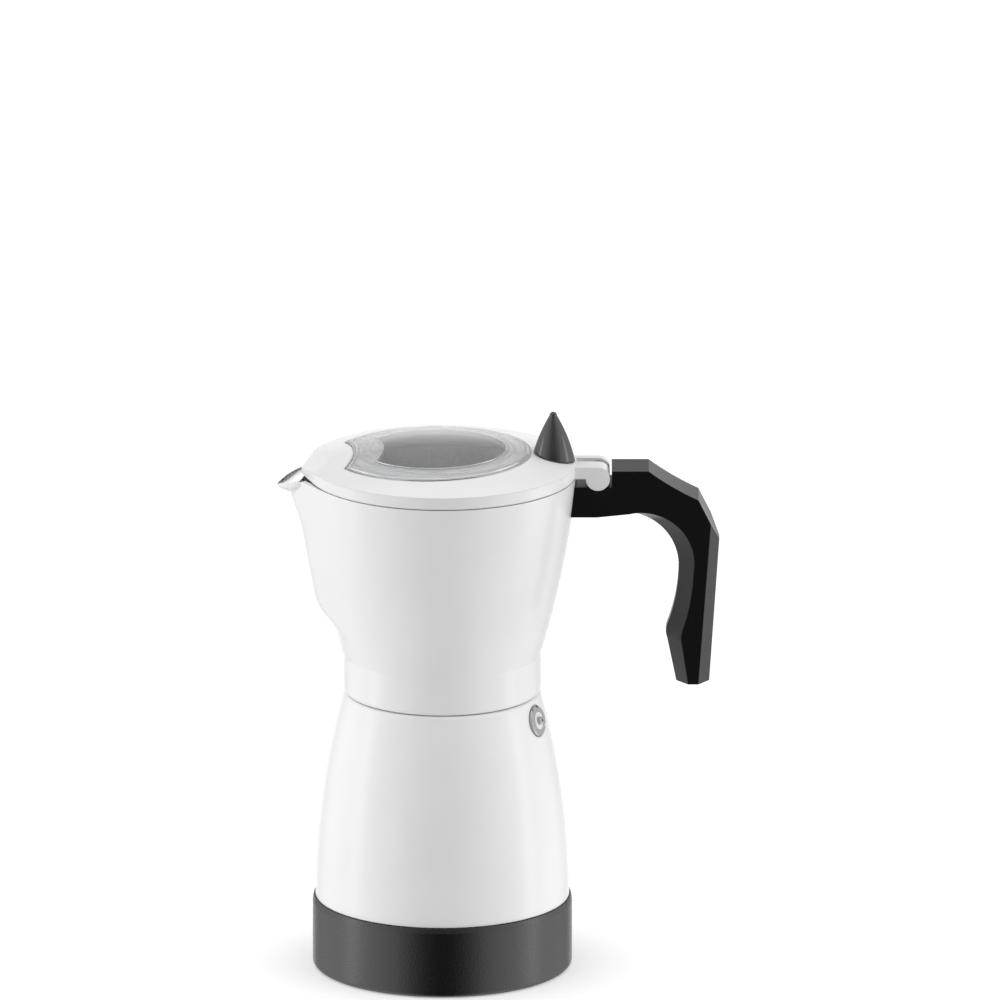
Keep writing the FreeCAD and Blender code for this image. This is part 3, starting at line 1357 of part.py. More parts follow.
def make_lid_shell():
    foot = lid_foot()
    tall = size("lid_edge_height + 2 * lid_rise")
    wall = size("lid_wall")
    outer = lid_prism(0, foot, tall).common(dome_ball(0)).cut(above_beak())
    hollow = lid_prism(wall, foot - wall, tall).common(dome_ball(-wall))
    inner_radius = jug_radius(size("jug_height")) - size("jug_wall + lid_rib_gap")
    rib_foot = size("jug_height - lid_rib_depth")
    rib_height = foot + size("lid_edge_height") - rib_foot
    rib = Part.makeCylinder(inner_radius, rib_height, Vector(0, 0, rib_foot))
    rib = rib.cut(Part.makeCylinder(inner_radius - size("lid_rib_wall"), rib_height, Vector(0, 0, rib_foot)))
    spout_side = Part.makeBox(inner_radius, 2 * inner_radius, tall, Vector(0, 0, 0))
    spout_side.translate(Vector(-size("lid_rib_opening") - inner_radius, -inner_radius, rib_foot))
    rib = rib.cut(spout_side)
    knob_x = size("knob_place")
    boss_foot = size("knob_boss_drop")
    lid_top = dome_level(knob_x)
    boss = Part.makeCylinder(size("knob_boss_radius"), boss_foot, Vector(knob_x, 0, lid_top - boss_foot))
    half = size("hinge_half_width")
    lugs = [
        lug_solid(-half, size("hinge_slot_front")),
        lug_solid(size("hinge_slot_back"), half),
    ]
    seat = bitten_prism("window", size("window_gap")).cut(dome_ball(-size("window_sink")))
    bore = across(
        size("hinge_pin_radius + pin_gap"),
        -half + size("hinge_end_wall"),
        half,
        size("hinge_place"),
        foot,
    )
    knob_hole = Part.makeCylinder(size("screw_radius + hole_gap"), tall, Vector(knob_x, 0, foot))
    shell = outer.cut(hollow).fuse([rib, boss.common(dome_ball(-wall / 2)), *lugs])
    shell = shell.cut([seat, bitten_prism("opening", 0), bore, knob_hole])
    return shaped("lid_shell", shell, jug_place())


def dome_level(distance):
    """Height of the lid's dome at a distance from its axis."""
    edge, rise = size("jug_rim_radius"), size("lid_rise")
    radius = (edge**2 + rise**2) / (2 * rise)
    apex = lid_foot() + size("lid_edge_height") + rise
    return apex - radius + math.sqrt(radius**2 - distance**2)


def make_lid_window():
    window = bitten_prism("window", 0).common(dome_ball(size("window_stand")))
    return shaped("lid_window", window.cut(dome_ball(-size("window_sink"))), jug_place())


def make_window_ring():
    wall = size("lid_wall")
    ring = bitten_prism("opening", size("window_ring_width")).cut(bitten_prism("opening", 0))
    thickness = size("window_ring_thickness")
    ring = ring.common(dome_ball(-wall)).cut(dome_ball(-wall - thickness))
    return shaped("window_ring", ring, jug_place())


def make_knob():
    x = size("knob_place")
    foot = dome_level(x + size("knob_radius"))
    top = dome_level(x) + size("knob_height")
    radius, tip, curve = size("knob_radius"), size("knob_tip_radius"), size("knob_curve_radius")
    high = Vector(tip, 0, top - tip)
    flat_low, flat_high = Vector(radius, foot, 0), Vector(high.x, high.z, 0)
    centre = arc_centre(flat_low, flat_high, curve, True)
    middle = centre + ((flat_low + flat_high) / 2 - centre).normalize() * curve
    # The side runs on below the dome, which then cuts it clear of its end
    root_level = foot - size("lid_wall")
    root_radius = centre.x + math.sqrt(curve**2 - (root_level - centre.y) ** 2)
    root = Vector(root_radius, 0, root_level)
    outline = Part.Wire(
        [
            Part.LineSegment(Vector(0, 0, root_level), root).toShape(),
            Part.Arc(root, Vector(middle.x, 0, middle.y), high).toShape(),
            Part.Arc(
                high,
                Vector(tip * math.sqrt(0.5), 0, top - tip + tip * math.sqrt(0.5)),
                Vector(0, 0, top),
            ).toShape(),
            Part.LineSegment(Vector(0, 0, top), Vector(0, 0, root_level)).toShape(),
        ]
    )
    horn = Part.Face(outline).revolve(Vector(), Vector(0, 0, 1), 360)
    horn.translate(Vector(x, 0, 0))
    depth = size("knob_bore_reach + knob_boss_drop")
    bore = Part.makeCylinder(size("screw_radius + thread_gap"), depth, Vector(x, 0, root_level))
    horn = horn.cut([dome_ball(0), bore])
    return shaped("knob", horn, jug_place())


def knob_boss_foot():
    return dome_level(size("knob_place")) - size("knob_boss_drop")


def make_knob_washer():
    thickness = size("knob_washer_thickness")
    place = Vector(size("knob_place"), 0, knob_boss_foot() - thickness)
    washer = Part.makeCylinder(size("knob_washer_radius"), thickness, place)
    hole = Part.makeCylinder(size("screw_radius + hole_gap"), thickness, place)
    return shaped("knob_washer", washer.cut(hole), jug_place())


def make_knob_screw():
    foot = knob_boss_foot() - size("knob_washer_thickness")
    place = Vector(size("knob_place"), 0, foot)
    length = size("knob_washer_thickness + knob_boss_drop + knob_bore_reach - knob_bore_spare")
    shank = Part.makeCylinder(size("screw_radius"), length, place)
    height = size("screw_head_height")
    head = Part.makeCylinder(size("screw_head_radius"), height, place - Vector(0, 0, height))
    return shaped("knob_screw", shank.fuse(head).removeSplitter(), jug_place())


# Handle: the grip narrows from its flat sides to a band along its inner and outer edge
GRIP = {
    # corner: (distance beyond the rim and drop below it on the band, the same on the flat side)
    "bow_start": ((20.6, 14.8), (20.6, 14.0)),
    "bow_middle": ((33.7, 21.1), (37.7, 17.6)),
    "waist": ((40.0, 37.0), (45.8, 38.0)),
    "waist_middle": ((38.7, 49.5), (44.2, 51.5)),
    "palm_top": ((35.4, 61.0), (41.5, 61.5)),
    "palm_middle": ((35.0, 63.4), (41.0, 64.0)),
    "palm_foot": ((35.5, 66.0), (41.2, 67.0)),
    "foot_inner": ((39.1, 83.6), (43.7, 83.6)),
    "foot_outer": ((52.1, 83.6), (47.8, 83.6)),
    "elbow": ((56.0, 25.6), (52.7, 18.2)),
}


def grip_outline(side, y):
    """The handle's outline at y: side 0 is the band and side 1 the flat side."""
    rim, foot = size("jug_height"), size("handle_foot_height")
    edge = size("jug_rim_radius")
    at = {name: Vector(edge + pair[side][0], y, rim - pair[side][1]) for name, pair in GRIP.items()}
    at["foot_inner"].z = at["foot_outer"].z = foot
    start, under = size("handle_start"), size("handle_under_height")
    shelf, top = size("handle_shelf_height"), size("handle_top_height")
    root_low = Vector(start, y, under)
    flat_end = Vector(edge + size("handle_flat_reach"), y, under)
    brow = Vector(edge + size("handle_brow_reach"), y, size("handle_brow_height"))
    top_end = Vector(edge + size("handle_top_reach"), y, top)
    block = size("hinge_place + notch_radius")
    along = (brow - top_end).normalize()
    hollow = (brow + top_end) / 2 - Vector(-along.z, 0, along.x) * size("handle_brow_hollow")
    corners = [
        Part.LineSegment(root_low, flat_end),
        Part.LineSegment(flat_end, at["bow_start"]),
        Part.Arc(at["bow_start"], at["bow_middle"], at["waist"]),
        Part.Arc(at["waist"], at["waist_middle"], at["palm_top"]),
        Part.Arc(at["palm_top"], at["palm_middle"], at["palm_foot"]),
        Part.LineSegment(at["palm_foot"], at["foot_inner"]),
        Part.LineSegment(at["foot_inner"], at["foot_outer"]),
        Part.LineSegment(at["foot_outer"], at["elbow"]),
        Part.LineSegment(at["elbow"], brow),
        Part.Arc(brow, hollow, top_end),
        Part.LineSegment(top_end, Vector(block, y, top)),
        Part.LineSegment(Vector(block, y, top), Vector(block, y, shelf)),
        Part.LineSegment(Vector(block, y, shelf), Vector(start, y, shelf)),
        Part.LineSegment(Vector(start, y, shelf), root_low),
    ]
    return Part.Wire([corner.toShape() for corner in corners])


def make_handle():
    half, band = size("hinge_half_width"), size("handle_band_half_width")
    rows = [(1, -half), (0, -band), (0, band), (1, half)]
    grip = Part.makeLoft([grip_outline(side, y) for side, y in rows], True, True)
    pivot_x, pivot_z = size("hinge_place"), lid_foot()
    notch = across(size("notch_radius"), -half, half, pivot_x, pivot_z)
    side_gap = size("hinge_side_gap")
    front, back = size("hinge_slot_front") + side_gap, size("hinge_slot_back") - side_gap
    tongue_radius = size("tongue_radius")
    tongue = across(tongue_radius, front, back, pivot_x, pivot_z)
    web_height = size("notch_radius") + side_gap
    web = Part.makeBox(
        2 * tongue_radius,
        back - front,
        web_height,
        Vector(pivot_x - tongue_radius, front, pivot_z - web_height),
    )
    bore = across(size("hinge_pin_radius + thread_gap / 2"), -half, half, pivot_x, pivot_z)
    gap = size("lug_gap")
    start = size("handle_start") - gap
    pocket = Part.makeBox(
        size("lug_reach") + gap - start,
        size("2 * lug_half_width") + 2 * gap,
        size("lug_thickness") + 2 * gap,
        Vector(start, -size("lug_half_width") - gap, size("lug_foot_height") - gap),
    )
    under = size("handle_under_height")
    screw_place = Vector(size("handle_screw_place"), 0, under)
    screw_hole_depth = size("lug_foot_height") - under
    screw_hole = Part.makeCylinder(size("screw_radius + hole_gap"), screw_hole_depth, screw_place)
    sink = Part.makeCylinder(size("screw_head_radius + hole_gap"), size("handle_screw_sink"), screw_place)
    jug = jug_loft(-size("handle_jug_gap"), size("jug_collar_height"), size("jug_height"))
    handle = grip.cut(notch).fuse([tongue, web]).cut([bore, pocket, screw_hole, sink, jug])
    return shaped("handle", handle.removeSplitter(), jug_place())


def make_handle_screw():
    foot = size("handle_under_height + handle_screw_sink")
    place = Vector(size("handle_screw_place"), 0, foot)
    length = size("lug_foot_height + lug_thickness") - foot - size("thread_gap")
    height = size("screw_head_height")
    shank = Part.makeCylinder(size("screw_radius"), length, place)
    head = Part.makeCylinder(size("screw_head_radius"), height, place - Vector(0, 0, height))
    return shaped("handle_screw", shank.fuse(head).removeSplitter(), jug_place())


def make_hinge_pin():
    half = size("hinge_half_width")
    start = -half + size("hinge_end_wall + pin_gap")
    pin = across(size("hinge_pin_radius"), start, half, size("hinge_place"), lid_foot())
    return shaped("hinge_pin", pin, jug_place())


PIECES = [
    make_boiler_vessel,
    make_base_housing,
    make_base_cover,
    make_base_seal,
    make_base_screws,
    make_heater_plate,
    make_heating_element,
    make_thermostat,
    make_thermal_fuse,
    make_fuse_clip,
    make_coupler_socket,
    make_coupler_contacts,
    make_socket_screws,
    make_lead_wires,
    make_valve_body,
    make_valve_bush,
    make_valve_pin,
    make_valve_spring,
    make_funnel_cup,
    make_funnel_tube,
    make_funnel_sieve,
    make_filter_plate,
    make_gasket,
    make_jug_shell,
    make_riser_column,
    make_handle,
    make_handle_screw,
    make_hinge_pin,
    make_lid_shell,
    make_lid_window,
    make_window_ring,
    make_knob,
    make_knob_washer,
    make_knob_screw,
]

pieces = [make() for make in PIECES]
doc.recompute()

# Every object has to have been made, and every sub-part has to be a sound shape
for made in doc.Objects:
    if "Invalid" in made.State or "Error" in made.State:
        raise RuntimeError(f"{made.Name} ({made.Label}) is {made.State}")
for piece in pieces:
    if piece.Shape.isNull() or not piece.Shape.isValid() or not piece.Shape.Solids:
        raise RuntimeError(f"{piece.Label} has no sound shape")

os.makedirs("parts", exist_ok=True)
for piece in pieces:
    piece.Shape.exportStep(f"parts/{piece.Label}.step")
    solids = piece.Shape.Solids
    print(piece.Label, len(solids), "solids,", round(sum(s.Volume for s in solids) / 1000, 2), "cm3")
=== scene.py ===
import json
import math

import bpy
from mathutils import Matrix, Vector


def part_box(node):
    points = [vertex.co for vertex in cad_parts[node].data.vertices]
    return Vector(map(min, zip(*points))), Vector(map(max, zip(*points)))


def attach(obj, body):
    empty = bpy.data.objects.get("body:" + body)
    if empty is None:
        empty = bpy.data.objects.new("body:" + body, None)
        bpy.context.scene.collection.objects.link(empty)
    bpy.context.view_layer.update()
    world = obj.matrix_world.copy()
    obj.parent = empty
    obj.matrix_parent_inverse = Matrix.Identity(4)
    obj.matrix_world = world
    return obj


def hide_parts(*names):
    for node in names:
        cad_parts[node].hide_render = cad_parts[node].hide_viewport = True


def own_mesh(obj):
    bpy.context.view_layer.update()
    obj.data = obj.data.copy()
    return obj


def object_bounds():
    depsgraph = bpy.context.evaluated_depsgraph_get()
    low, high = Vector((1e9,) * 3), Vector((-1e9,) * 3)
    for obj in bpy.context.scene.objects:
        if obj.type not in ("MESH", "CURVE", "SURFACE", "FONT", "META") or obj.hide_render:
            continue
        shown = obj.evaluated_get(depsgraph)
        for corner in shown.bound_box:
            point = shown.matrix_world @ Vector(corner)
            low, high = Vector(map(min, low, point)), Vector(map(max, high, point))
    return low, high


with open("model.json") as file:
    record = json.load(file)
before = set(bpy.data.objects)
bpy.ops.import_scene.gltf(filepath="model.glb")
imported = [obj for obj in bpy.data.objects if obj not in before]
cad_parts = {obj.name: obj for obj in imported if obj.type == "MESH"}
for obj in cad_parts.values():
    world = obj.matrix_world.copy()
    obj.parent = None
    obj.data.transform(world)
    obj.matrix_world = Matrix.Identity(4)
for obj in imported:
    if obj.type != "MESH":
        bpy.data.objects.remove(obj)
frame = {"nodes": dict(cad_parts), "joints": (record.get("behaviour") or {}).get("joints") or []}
cad_low, cad_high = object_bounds()

# Electric moka pot. Metres, +Z up, the spout points to -X, the handle to +X and the picture is taken from -Y.
MM = 0.001
scene = bpy.context.scene
scene.view_settings.view_transform = "Standard"


# Camera: a long lens, 16 degrees above the horizon
PICTURE_WIDTH = 392.9 * MM
PICTURE_CENTRE = Vector((22.7 * MM, 0, 189.2 * MM))
CAMERA_ELEVATION = math.radians(16)
CAMERA_DISTANCE = 16.0
SENSOR_WIDTH = 36.0


def make_camera():
    data = bpy.data.cameras.new("camera")
    data.sensor_width = SENSOR_WIDTH
    data.lens = SENSOR_WIDTH * CAMERA_DISTANCE / PICTURE_WIDTH
    data.clip_end = 10 * CAMERA_DISTANCE
    camera = bpy.data.objects.new("camera", data)
    scene.collection.objects.link(camera)
    back = Vector((0, -math.cos(CAMERA_ELEVATION), math.sin(CAMERA_ELEVATION)))
    camera.location = PICTURE_CENTRE + back * CAMERA_DISTANCE
    camera.rotation_euler = (-back).to_track_quat("-Z", "Y").to_euler()
    scene.camera = camera


# Node trees. Noise stays near its middle, so its blotches are spread over this reach on each side.
CLOUD_REACH = 0.2
BLAST_REACH = 0.25
GRAIN_REACH = 0.3


class Tree:
    """A short way to build a node tree. A socket is given as a number, a colour or another node's output."""

    def __init__(self, tree):
        self.tree = tree

    def node(self, kind, **settings):
        made = self.tree.nodes.new("ShaderNode" + kind)
        for name, value in settings.items():
            setattr(made, name, value)
        return made

    def feed(self, socket, value):
        if isinstance(value, bpy.types.NodeSocket):
            self.tree.links.new(value, socket)
        else:
            socket.default_value = value

    def math(self, operation, a, b=0.0):
        made = self.node("Math", operation=operation)
        self.feed(made.inputs[0], a)
        self.feed(made.inputs[1], b)
        return made.outputs[0]

    def vector(self, operation, a, b=(0, 0, 0)):
        made = self.node("VectorMath", operation=operation)
        self.feed(made.inputs[0], a)
        self.feed(made.inputs[1], b)
        return made.outputs["Value" if operation in ("LENGTH", "DOT_PRODUCT") else "Vector"]

    def remap(self, value, low, high, to_low=0.0, to_high=1.0):
        """Carries low..high to to_low..to_high with soft ends."""
        made = self.node("MapRange", interpolation_type="SMOOTHSTEP")
        for name, number in (
            ("Value", value), ("From Min", low), ("From Max", high), ("To Min", to_low), ("To Max", to_high)
        ):
            self.feed(made.inputs[name], number)
        return made.outputs[0]

    def vary(self, noise, low, high, reach=CLOUD_REACH):
        """Spreads noise over low..high."""
        return self.remap(noise, 0.5 - reach, 0.5 + reach, low, high)

    def mix(self, share, a, b):
        """Mixes two numbers."""
        made = self.node("Mix", data_type="FLOAT")
        for socket, value in zip(made.inputs[0:1] + made.inputs[2:4], (share, a, b)):
            self.feed(socket, value)
        return made.outputs[0]

    def grey(self, value, tint=(1, 1, 1)):
        """A colour from a number and a tint."""
        made = self.node("CombineColor")
        for socket, part in zip(made.inputs, tint):
            self.feed(socket, self.math("MULTIPLY", value, part))
        return made.outputs[0]

    def place(self):
        """The point on the object, in metres in the frame at rest."""
        return self.node("TexCoord").outputs["Object"]

    def facing(self):
        """The object's own normal."""
        return self.node("TexCoord").outputs["Normal"]

    def noise(self, size, detail=2.0, stretch=(1, 1, 1), roughness=0.5):
        """Even noise from 0 to 1 whose blotches are about size wide."""
        scaled = self.vector("MULTIPLY", self.place(), stretch)
        made = self.node("TexNoise")
        for name, value in (
            ("Vector", scaled), ("Scale", 1 / size), ("Detail", detail), ("Roughness", roughness)
        ):
            self.feed(made.inputs[name], value)
        return made.outputs[0]

    def speckle(self, size):
        """The fine noise of blasted metal."""
        return self.noise(size, detail=3, roughness=0.7)

    def split(self, vector):
        made = self.node("SeparateXYZ")
        self.feed(made.inputs[0], vector)
        return made.outputs

    def level(self):
        """Height of the point."""
        return self.split(self.place())[2]

    def distance_from(self, x, y):
        """Level distance of the point from an upright line."""
        offset = self.vector("SUBTRACT", self.place(), (x, y, 0))
        return self.vector("LENGTH", self.vector("MULTIPLY", offset, (1, 1, 0)))

    def outward(self):
        """Above 0 where the surface faces away from the upright axis."""
        point = self.vector("MULTIPLY", self.place(), (1, 1, 0))
        return self.vector("DOT_PRODUCT", self.facing(), self.vector("NORMALIZE", point))


class Surface(Tree):
    """A material with one Principled shader."""

    def __init__(self, name, **constants):
        self.material = bpy.data.materials.new(name)
        self.material.use_nodes = True
        super().__init__(self.material.node_tree)
        self.shader = self.tree.nodes["Principled BSDF"]
        for socket, value in constants.items():
            self.set(socket.replace("_", " "), value)

    def set(self, name, value):
        self.feed(self.shader.inputs[name], value)

    def relief(self, height, depth, edge=0.0):
        """Raises the surface by height times depth, over edges softened by edge."""
        bump = self.node("Bump")
        self.feed(bump.inputs["Height"], height)
        self.feed(bump.inputs["Distance"], depth)
        if edge:
            soft = self.node("Bevel", samples=4)
            self.feed(soft.inputs["Radius"], edge)
            self.feed(bump.inputs["Normal"], soft.outputs[0])
        self.set("Normal", bump.outputs[0])


# Studio. Its bands hold degrees round from the camera's side, and the brightness there.
STUDIO_LOW = (
    (0, 0.03), (12, 0.08), (28, 0.44), (44, 1.12), (75, 1.42),
    (105, 1.28), (128, 0.9), (152, 0.4), (167, 1.0), (180, 1.0),
)
STUDIO_HIGH = ((0, 0.45), (30, 0.74), (55, 1.18), (90, 1.25), (130, 1.0), (180, 0.35))
STUDIO_TOP = 1.05
# Heights of a direction, as its sine, over which one band gives way to the next
LOW_TO_HIGH = (0.05, 0.35)
HIGH_TO_TOP = (0.6, 0.92)
# How far behind the pot a mirrored direction turns white, and over which heights that ends
WHITE_BEHIND = (0.97, 0.99)
WHITE_UP_TO = (0.02, 0.12)


def studio_band(tree, back, stops):
    """Brightness round the pot at one level, from the stops."""
    ramp = tree.node("ValToRGB")
    ramp.color_ramp.interpolation = "EASE"
    elements = ramp.color_ramp.elements
    while len(elements) < len(stops):
        elements.new(0.5)
    for element, (degrees, brightness) in zip(elements, stops):
        element.position = 0.5 - 0.5 * math.cos(math.radians(degrees))
        element.color = (brightness, brightness, brightness, 1)
    tree.feed(ramp.inputs[0], back)
    return ramp.outputs[0]


def make_world():
    """Lights the pot with the studio. The camera, glass and metal see the background white.
    Low towards the camera the studio is dark, which gives round forms their darker middle, and a dimmer strip
    on each side of the background gives them their edges."""
    world = bpy.data.worlds.new("studio")
    scene.world = world
    world.use_nodes = True
    tree = Tree(world.node_tree)
    world.node_tree.nodes.clear()
    direction = tree.vector("NORMALIZE", tree.node("TexCoord").outputs["Generated"])
    level = tree.vector("NORMALIZE", tree.vector("MULTIPLY", direction, (1, 1, 0)))
    back = tree.math("ADD", tree.math("MULTIPLY", tree.vector("DOT_PRODUCT", level, (0, 1, 0)), 0.5), 0.5)
    height = tree.split(direction)[2]
    low_band = studio_band(tree, back, STUDIO_LOW)
    high_band = studio_band(tree, back, STUDIO_HIGH)
    bands = tree.mix(tree.remap(height, *LOW_TO_HIGH), low_band, high_band)
    brightness = tree.mix(tree.remap(height, *HIGH_TO_TOP), bands, STUDIO_TOP)
    studio = tree.node("Background")
    tree.feed(studio.inputs["Color"], tree.grey(brightness))
    white = tree.node("Background")
    tree.feed(white.inputs["Color"], (1, 1, 1, 1))
    path = tree.node("LightPath").outputs
    low = tree.remap(height, *WHITE_UP_TO, 1.0, 0.0)
    behind = tree.math("MULTIPLY", tree.remap(back, *WHITE_BEHIND), low)
    mirrored = tree.math("MULTIPLY", path["Is Glossy Ray"], behind)
    straight = tree.math("MAXIMUM", path["Is Camera Ray"], path["Is Transmission Ray"])
    mixed = tree.node("MixShader")
    tree.feed(mixed.inputs[0], tree.math("MAXIMUM", straight, mirrored))
    tree.feed(mixed.inputs[1], studio.outputs[0])
    tree.feed(mixed.inputs[2], white.outputs[0])
    tree.feed(tree.node("OutputWorld").inputs["Surface"], mixed.outputs[0])


FLOOR_DROP = 0.1 * MM
FLOOR_HALF_WIDTH = 6.0
FLOOR_LIFT = 0.35
FLOOR_TONES = (0.78, 0.82)
FLOOR_GRAIN = 3 * MM


def make_floor():
    """A pale floor. What the camera sees of it is lifted to the white of the background, less its shadow.
    The pot itself is lit from below by the studio, as if the floor were far away."""
    half = FLOOR_HALF_WIDTH
    mesh = bpy.data.meshes.new("floor")
    corners = [(-half, -half), (half, -half), (half, half), (-half, half)]
    mesh.from_pydata([(x, y, cad_low.z - FLOOR_DROP) for x, y in corners], [], [(0, 1, 2, 3)])
    floor = bpy.data.objects.new("floor", mesh)
    scene.collection.objects.link(floor)
    surface = Surface("floor", Roughness=1.0, Specular_IOR_Level=0.0)
    grain = surface.noise(FLOOR_GRAIN)
    surface.set("Base Color", surface.grey(surface.remap(grain, 0, 1, *FLOOR_TONES)))
    surface.set("Emission Color", (1, 1, 1, 1))
    lift = surface.math("MULTIPLY", surface.node("LightPath").outputs["Is Camera Ray"], FLOOR_LIFT)
    surface.set("Emission Strength", lift)
    mesh.materials.append(surface.material)
    floor.visible_glossy = False
    floor.visible_transmission = False
    floor.visible_diffuse = False
    floor.visible_shadow = False


# Lamps: where they stand, their width, height and brightness. They face the middle of the pot.
LAMPS = {
    "left_box": ((-1.25, -0.1, 0.1), 0.3, 1.0, 1.3),
    "right_box": ((1.25, -0.1, 0.1), 0.3, 1.0, 1.3),
    "top_box": ((0, 0.1, 1.5), 0.5, 0.5, 1.0),
}
LAMP_AIM = Vector((0, 0, 0.15))


def make_lamps():
    """Area lamps. Their power follows from their brightness and size."""
    for name, (place, width, height, radiance) in LAMPS.items():
        data = bpy.data.lights.new(name, "AREA")
        data.shape = "RECTANGLE"
        data.size = width
        data.size_y = height
        data.energy = radiance * width * height * math.pi
        lamp = bpy.data.objects.new(name, data)
        scene.collection.objects.link(lamp)
        lamp.location = place
        lamp.rotation_euler = (Vector(place) - LAMP_AIM).to_track_quat("Z", "Y").to_euler()


# Finishes. A pair of numbers is what noise spreads over.
PLASTIC_IOR = 1.49
METAL_TINT = (0.995, 0.998, 1.0)
BLAST_SIZE = 0.6 * MM
BLAST_DEPTH = 0.02 * MM
ENAMEL = {
    "ior": 1.5, "tone": (0.885, 0.905), "roughness": (0.20, 0.26), "edge": 0.35 * MM,
    "cloud": 25 * MM, "peel": 1.6 * MM, "peel_share": 0.15,
}


def white_enamel(name, painted, bare_tone, bare_roughness, lip_level=math.inf, lip_roughness=0.2):
    """Satin white enamel where painted is 1 and bare blasted aluminium where it is 0, polished above the lip.
    painted takes the surface and gives the socket of that mask."""
    surface = Surface(name, IOR=ENAMEL["ior"])
    mask = painted(surface)
    cloud = surface.noise(ENAMEL["cloud"], detail=3)
    speckle = surface.speckle(BLAST_SIZE)
    enamel = surface.vary(cloud, *ENAMEL["tone"])
    metal = surface.vary(speckle, *bare_tone, BLAST_REACH)
    surface.set("Base Color", surface.grey(surface.mix(mask, metal, enamel)))
    surface.set("Metallic", surface.math("SUBTRACT", 1, mask))
    blast = surface.vary(speckle, *bare_roughness, GRAIN_REACH)
    if lip_level < math.inf:
        lip = surface.math("GREATER_THAN", surface.level(), lip_level)
        blast = surface.mix(lip, blast, lip_roughness)
    surface.set("Roughness", surface.mix(mask, blast, surface.vary(cloud, *ENAMEL["roughness"])))
    peel = surface.math("MULTIPLY", surface.noise(ENAMEL["peel"], detail=1), ENAMEL["peel_share"])
    surface.relief(surface.mix(mask, speckle, peel), BLAST_DEPTH, ENAMEL["edge"])
    return surface.material


# The boiler's paint starts just under its shoulder and ends at the foot of its neck. Its lip is polished.
SHOULDER_LEVEL = 110.8 * MM
NECK_EDGE = 35.3 * MM
LIP_LEVEL = 120.9 * MM
# The jug's faces that lean outwards by more than this are painted
JUG_LEAN = 0.05


def boiler_paint(surface):
    """The outside of the boiler up to the foot of the neck."""
    shoulder = surface.math("GREATER_THAN", surface.level(), SHOULDER_LEVEL)
    outside = surface.math("GREATER_THAN", surface.outward(), 0.0)
    beyond = surface.math("GREATER_THAN", surface.distance_from(0, 0), NECK_EDGE)
    return surface.math("MULTIPLY", surface.math("MAXIMUM", shoulder, outside), beyond)


def jug_paint(surface):
    """The outside of the jug, less its level foot and rim."""
    return surface.math("GREATER_THAN", surface.outward(), JUG_LEAN)


def blasted_aluminium(name, tone, roughness, depth, size=BLAST_SIZE, edge=0.0):
    """Bare aluminium with the fine speckle of blasting."""
    surface = Surface(name, Metallic=1.0)
    speckle = surface.speckle(size)
    cloud = surface.vary(surface.noise(14 * MM, detail=2), 0.97, 1.0)
    grain = surface.vary(speckle, *tone, BLAST_REACH)
    surface.set("Base Color", surface.grey(surface.math("MULTIPLY", grain, cloud), METAL_TINT))
    surface.set("Roughness", surface.vary(speckle, *roughness, GRAIN_REACH))
    surface.relief(speckle, depth, edge)
    return surface.material


# Funnel. Its flange starts at a level of its own, and two grooves run round the cup, sunk as relief and
# darkened by painted shade.
FUNNEL = {
    "speckle": 0.65 * MM, "edge": 0.3 * MM, "turn": 0.1,
    "tone": (0.78, 0.99), "roughness": (0.40, 0.52),
    "inside_tone": 0.97, "inside_roughness": (0.62, 0.7), "inside_metal": 0.1, "inside_relief": 0.3,
    "flange_level": 121.9 * MM, "flange_tone": 0.98, "flange_roughness": 0.35, "flange_metal": 0.3,
}
# The grooves' depth is sunk as relief. Their tone is painted shade that darkens the cup's colour in them.
CUP_GROOVES_AND_PAINTED_SHADE = {"levels": (108.42 * MM, 93.5 * MM), "half_width": 0.9 * MM, "depth": 0.3 * MM, "tone": 0.74}


def funnel_aluminium():
    """Blasted outside, smooth and matt inside, with a brighter flange, and painted shade in the cup's
    grooves.
    """
    surface = Surface("funnel_aluminium")
    height = surface.level()
    flange = surface.math("GREATER_THAN", height, FUNNEL["flange_level"])
    inwards = surface.remap(surface.outward(), -FUNNEL["turn"], FUNNEL["turn"], 1.0, 0.0)
    inside = surface.math("MULTIPLY", inwards, surface.math("SUBTRACT", 1, flange))
    groove = 0.0
    for level in CUP_GROOVES_AND_PAINTED_SHADE["levels"]:
        off = surface.math("ABSOLUTE", surface.math("SUBTRACT", height, level))
        groove = surface.math("MAXIMUM", surface.remap(off, 0, CUP_GROOVES_AND_PAINTED_SHADE["half_width"], 1.0, 0.0), groove)

    speckle = surface.speckle(FUNNEL["speckle"])
    tone = surface.mix(flange, surface.vary(speckle, *FUNNEL["tone"]), FUNNEL["flange_tone"])
    # Painted shade: the cup's colour is darkened in its two grooves.
    tone = surface.math("MULTIPLY", tone, surface.mix(groove, 1.0, CUP_GROOVES_AND_PAINTED_SHADE["tone"]))
    surface.set("Base Color", surface.grey(surface.mix(inside, tone, FUNNEL["inside_tone"]), METAL_TINT))
    metal = surface.mix(flange, 1.0, FUNNEL["flange_metal"])
    surface.set("Metallic", surface.mix(inside, metal, FUNNEL["inside_metal"]))
    blast = surface.vary(speckle, *FUNNEL["roughness"], GRAIN_REACH)
    blast = surface.mix(flange, blast, FUNNEL["flange_roughness"])
    smooth = surface.vary(speckle, *FUNNEL["inside_roughness"], GRAIN_REACH)
    surface.set("Roughness", surface.mix(inside, blast, smooth))
    rough = surface.math("MULTIPLY", speckle, surface.mix(inside, 1.0, FUNNEL["inside_relief"]))
    sunk = surface.math("MULTIPLY", groove, CUP_GROOVES_AND_PAINTED_SHADE["depth"] / BLAST_DEPTH)
    surface.relief(surface.math("SUBTRACT", rough, sunk), BLAST_DEPTH, FUNNEL["edge"])
    return surface.material


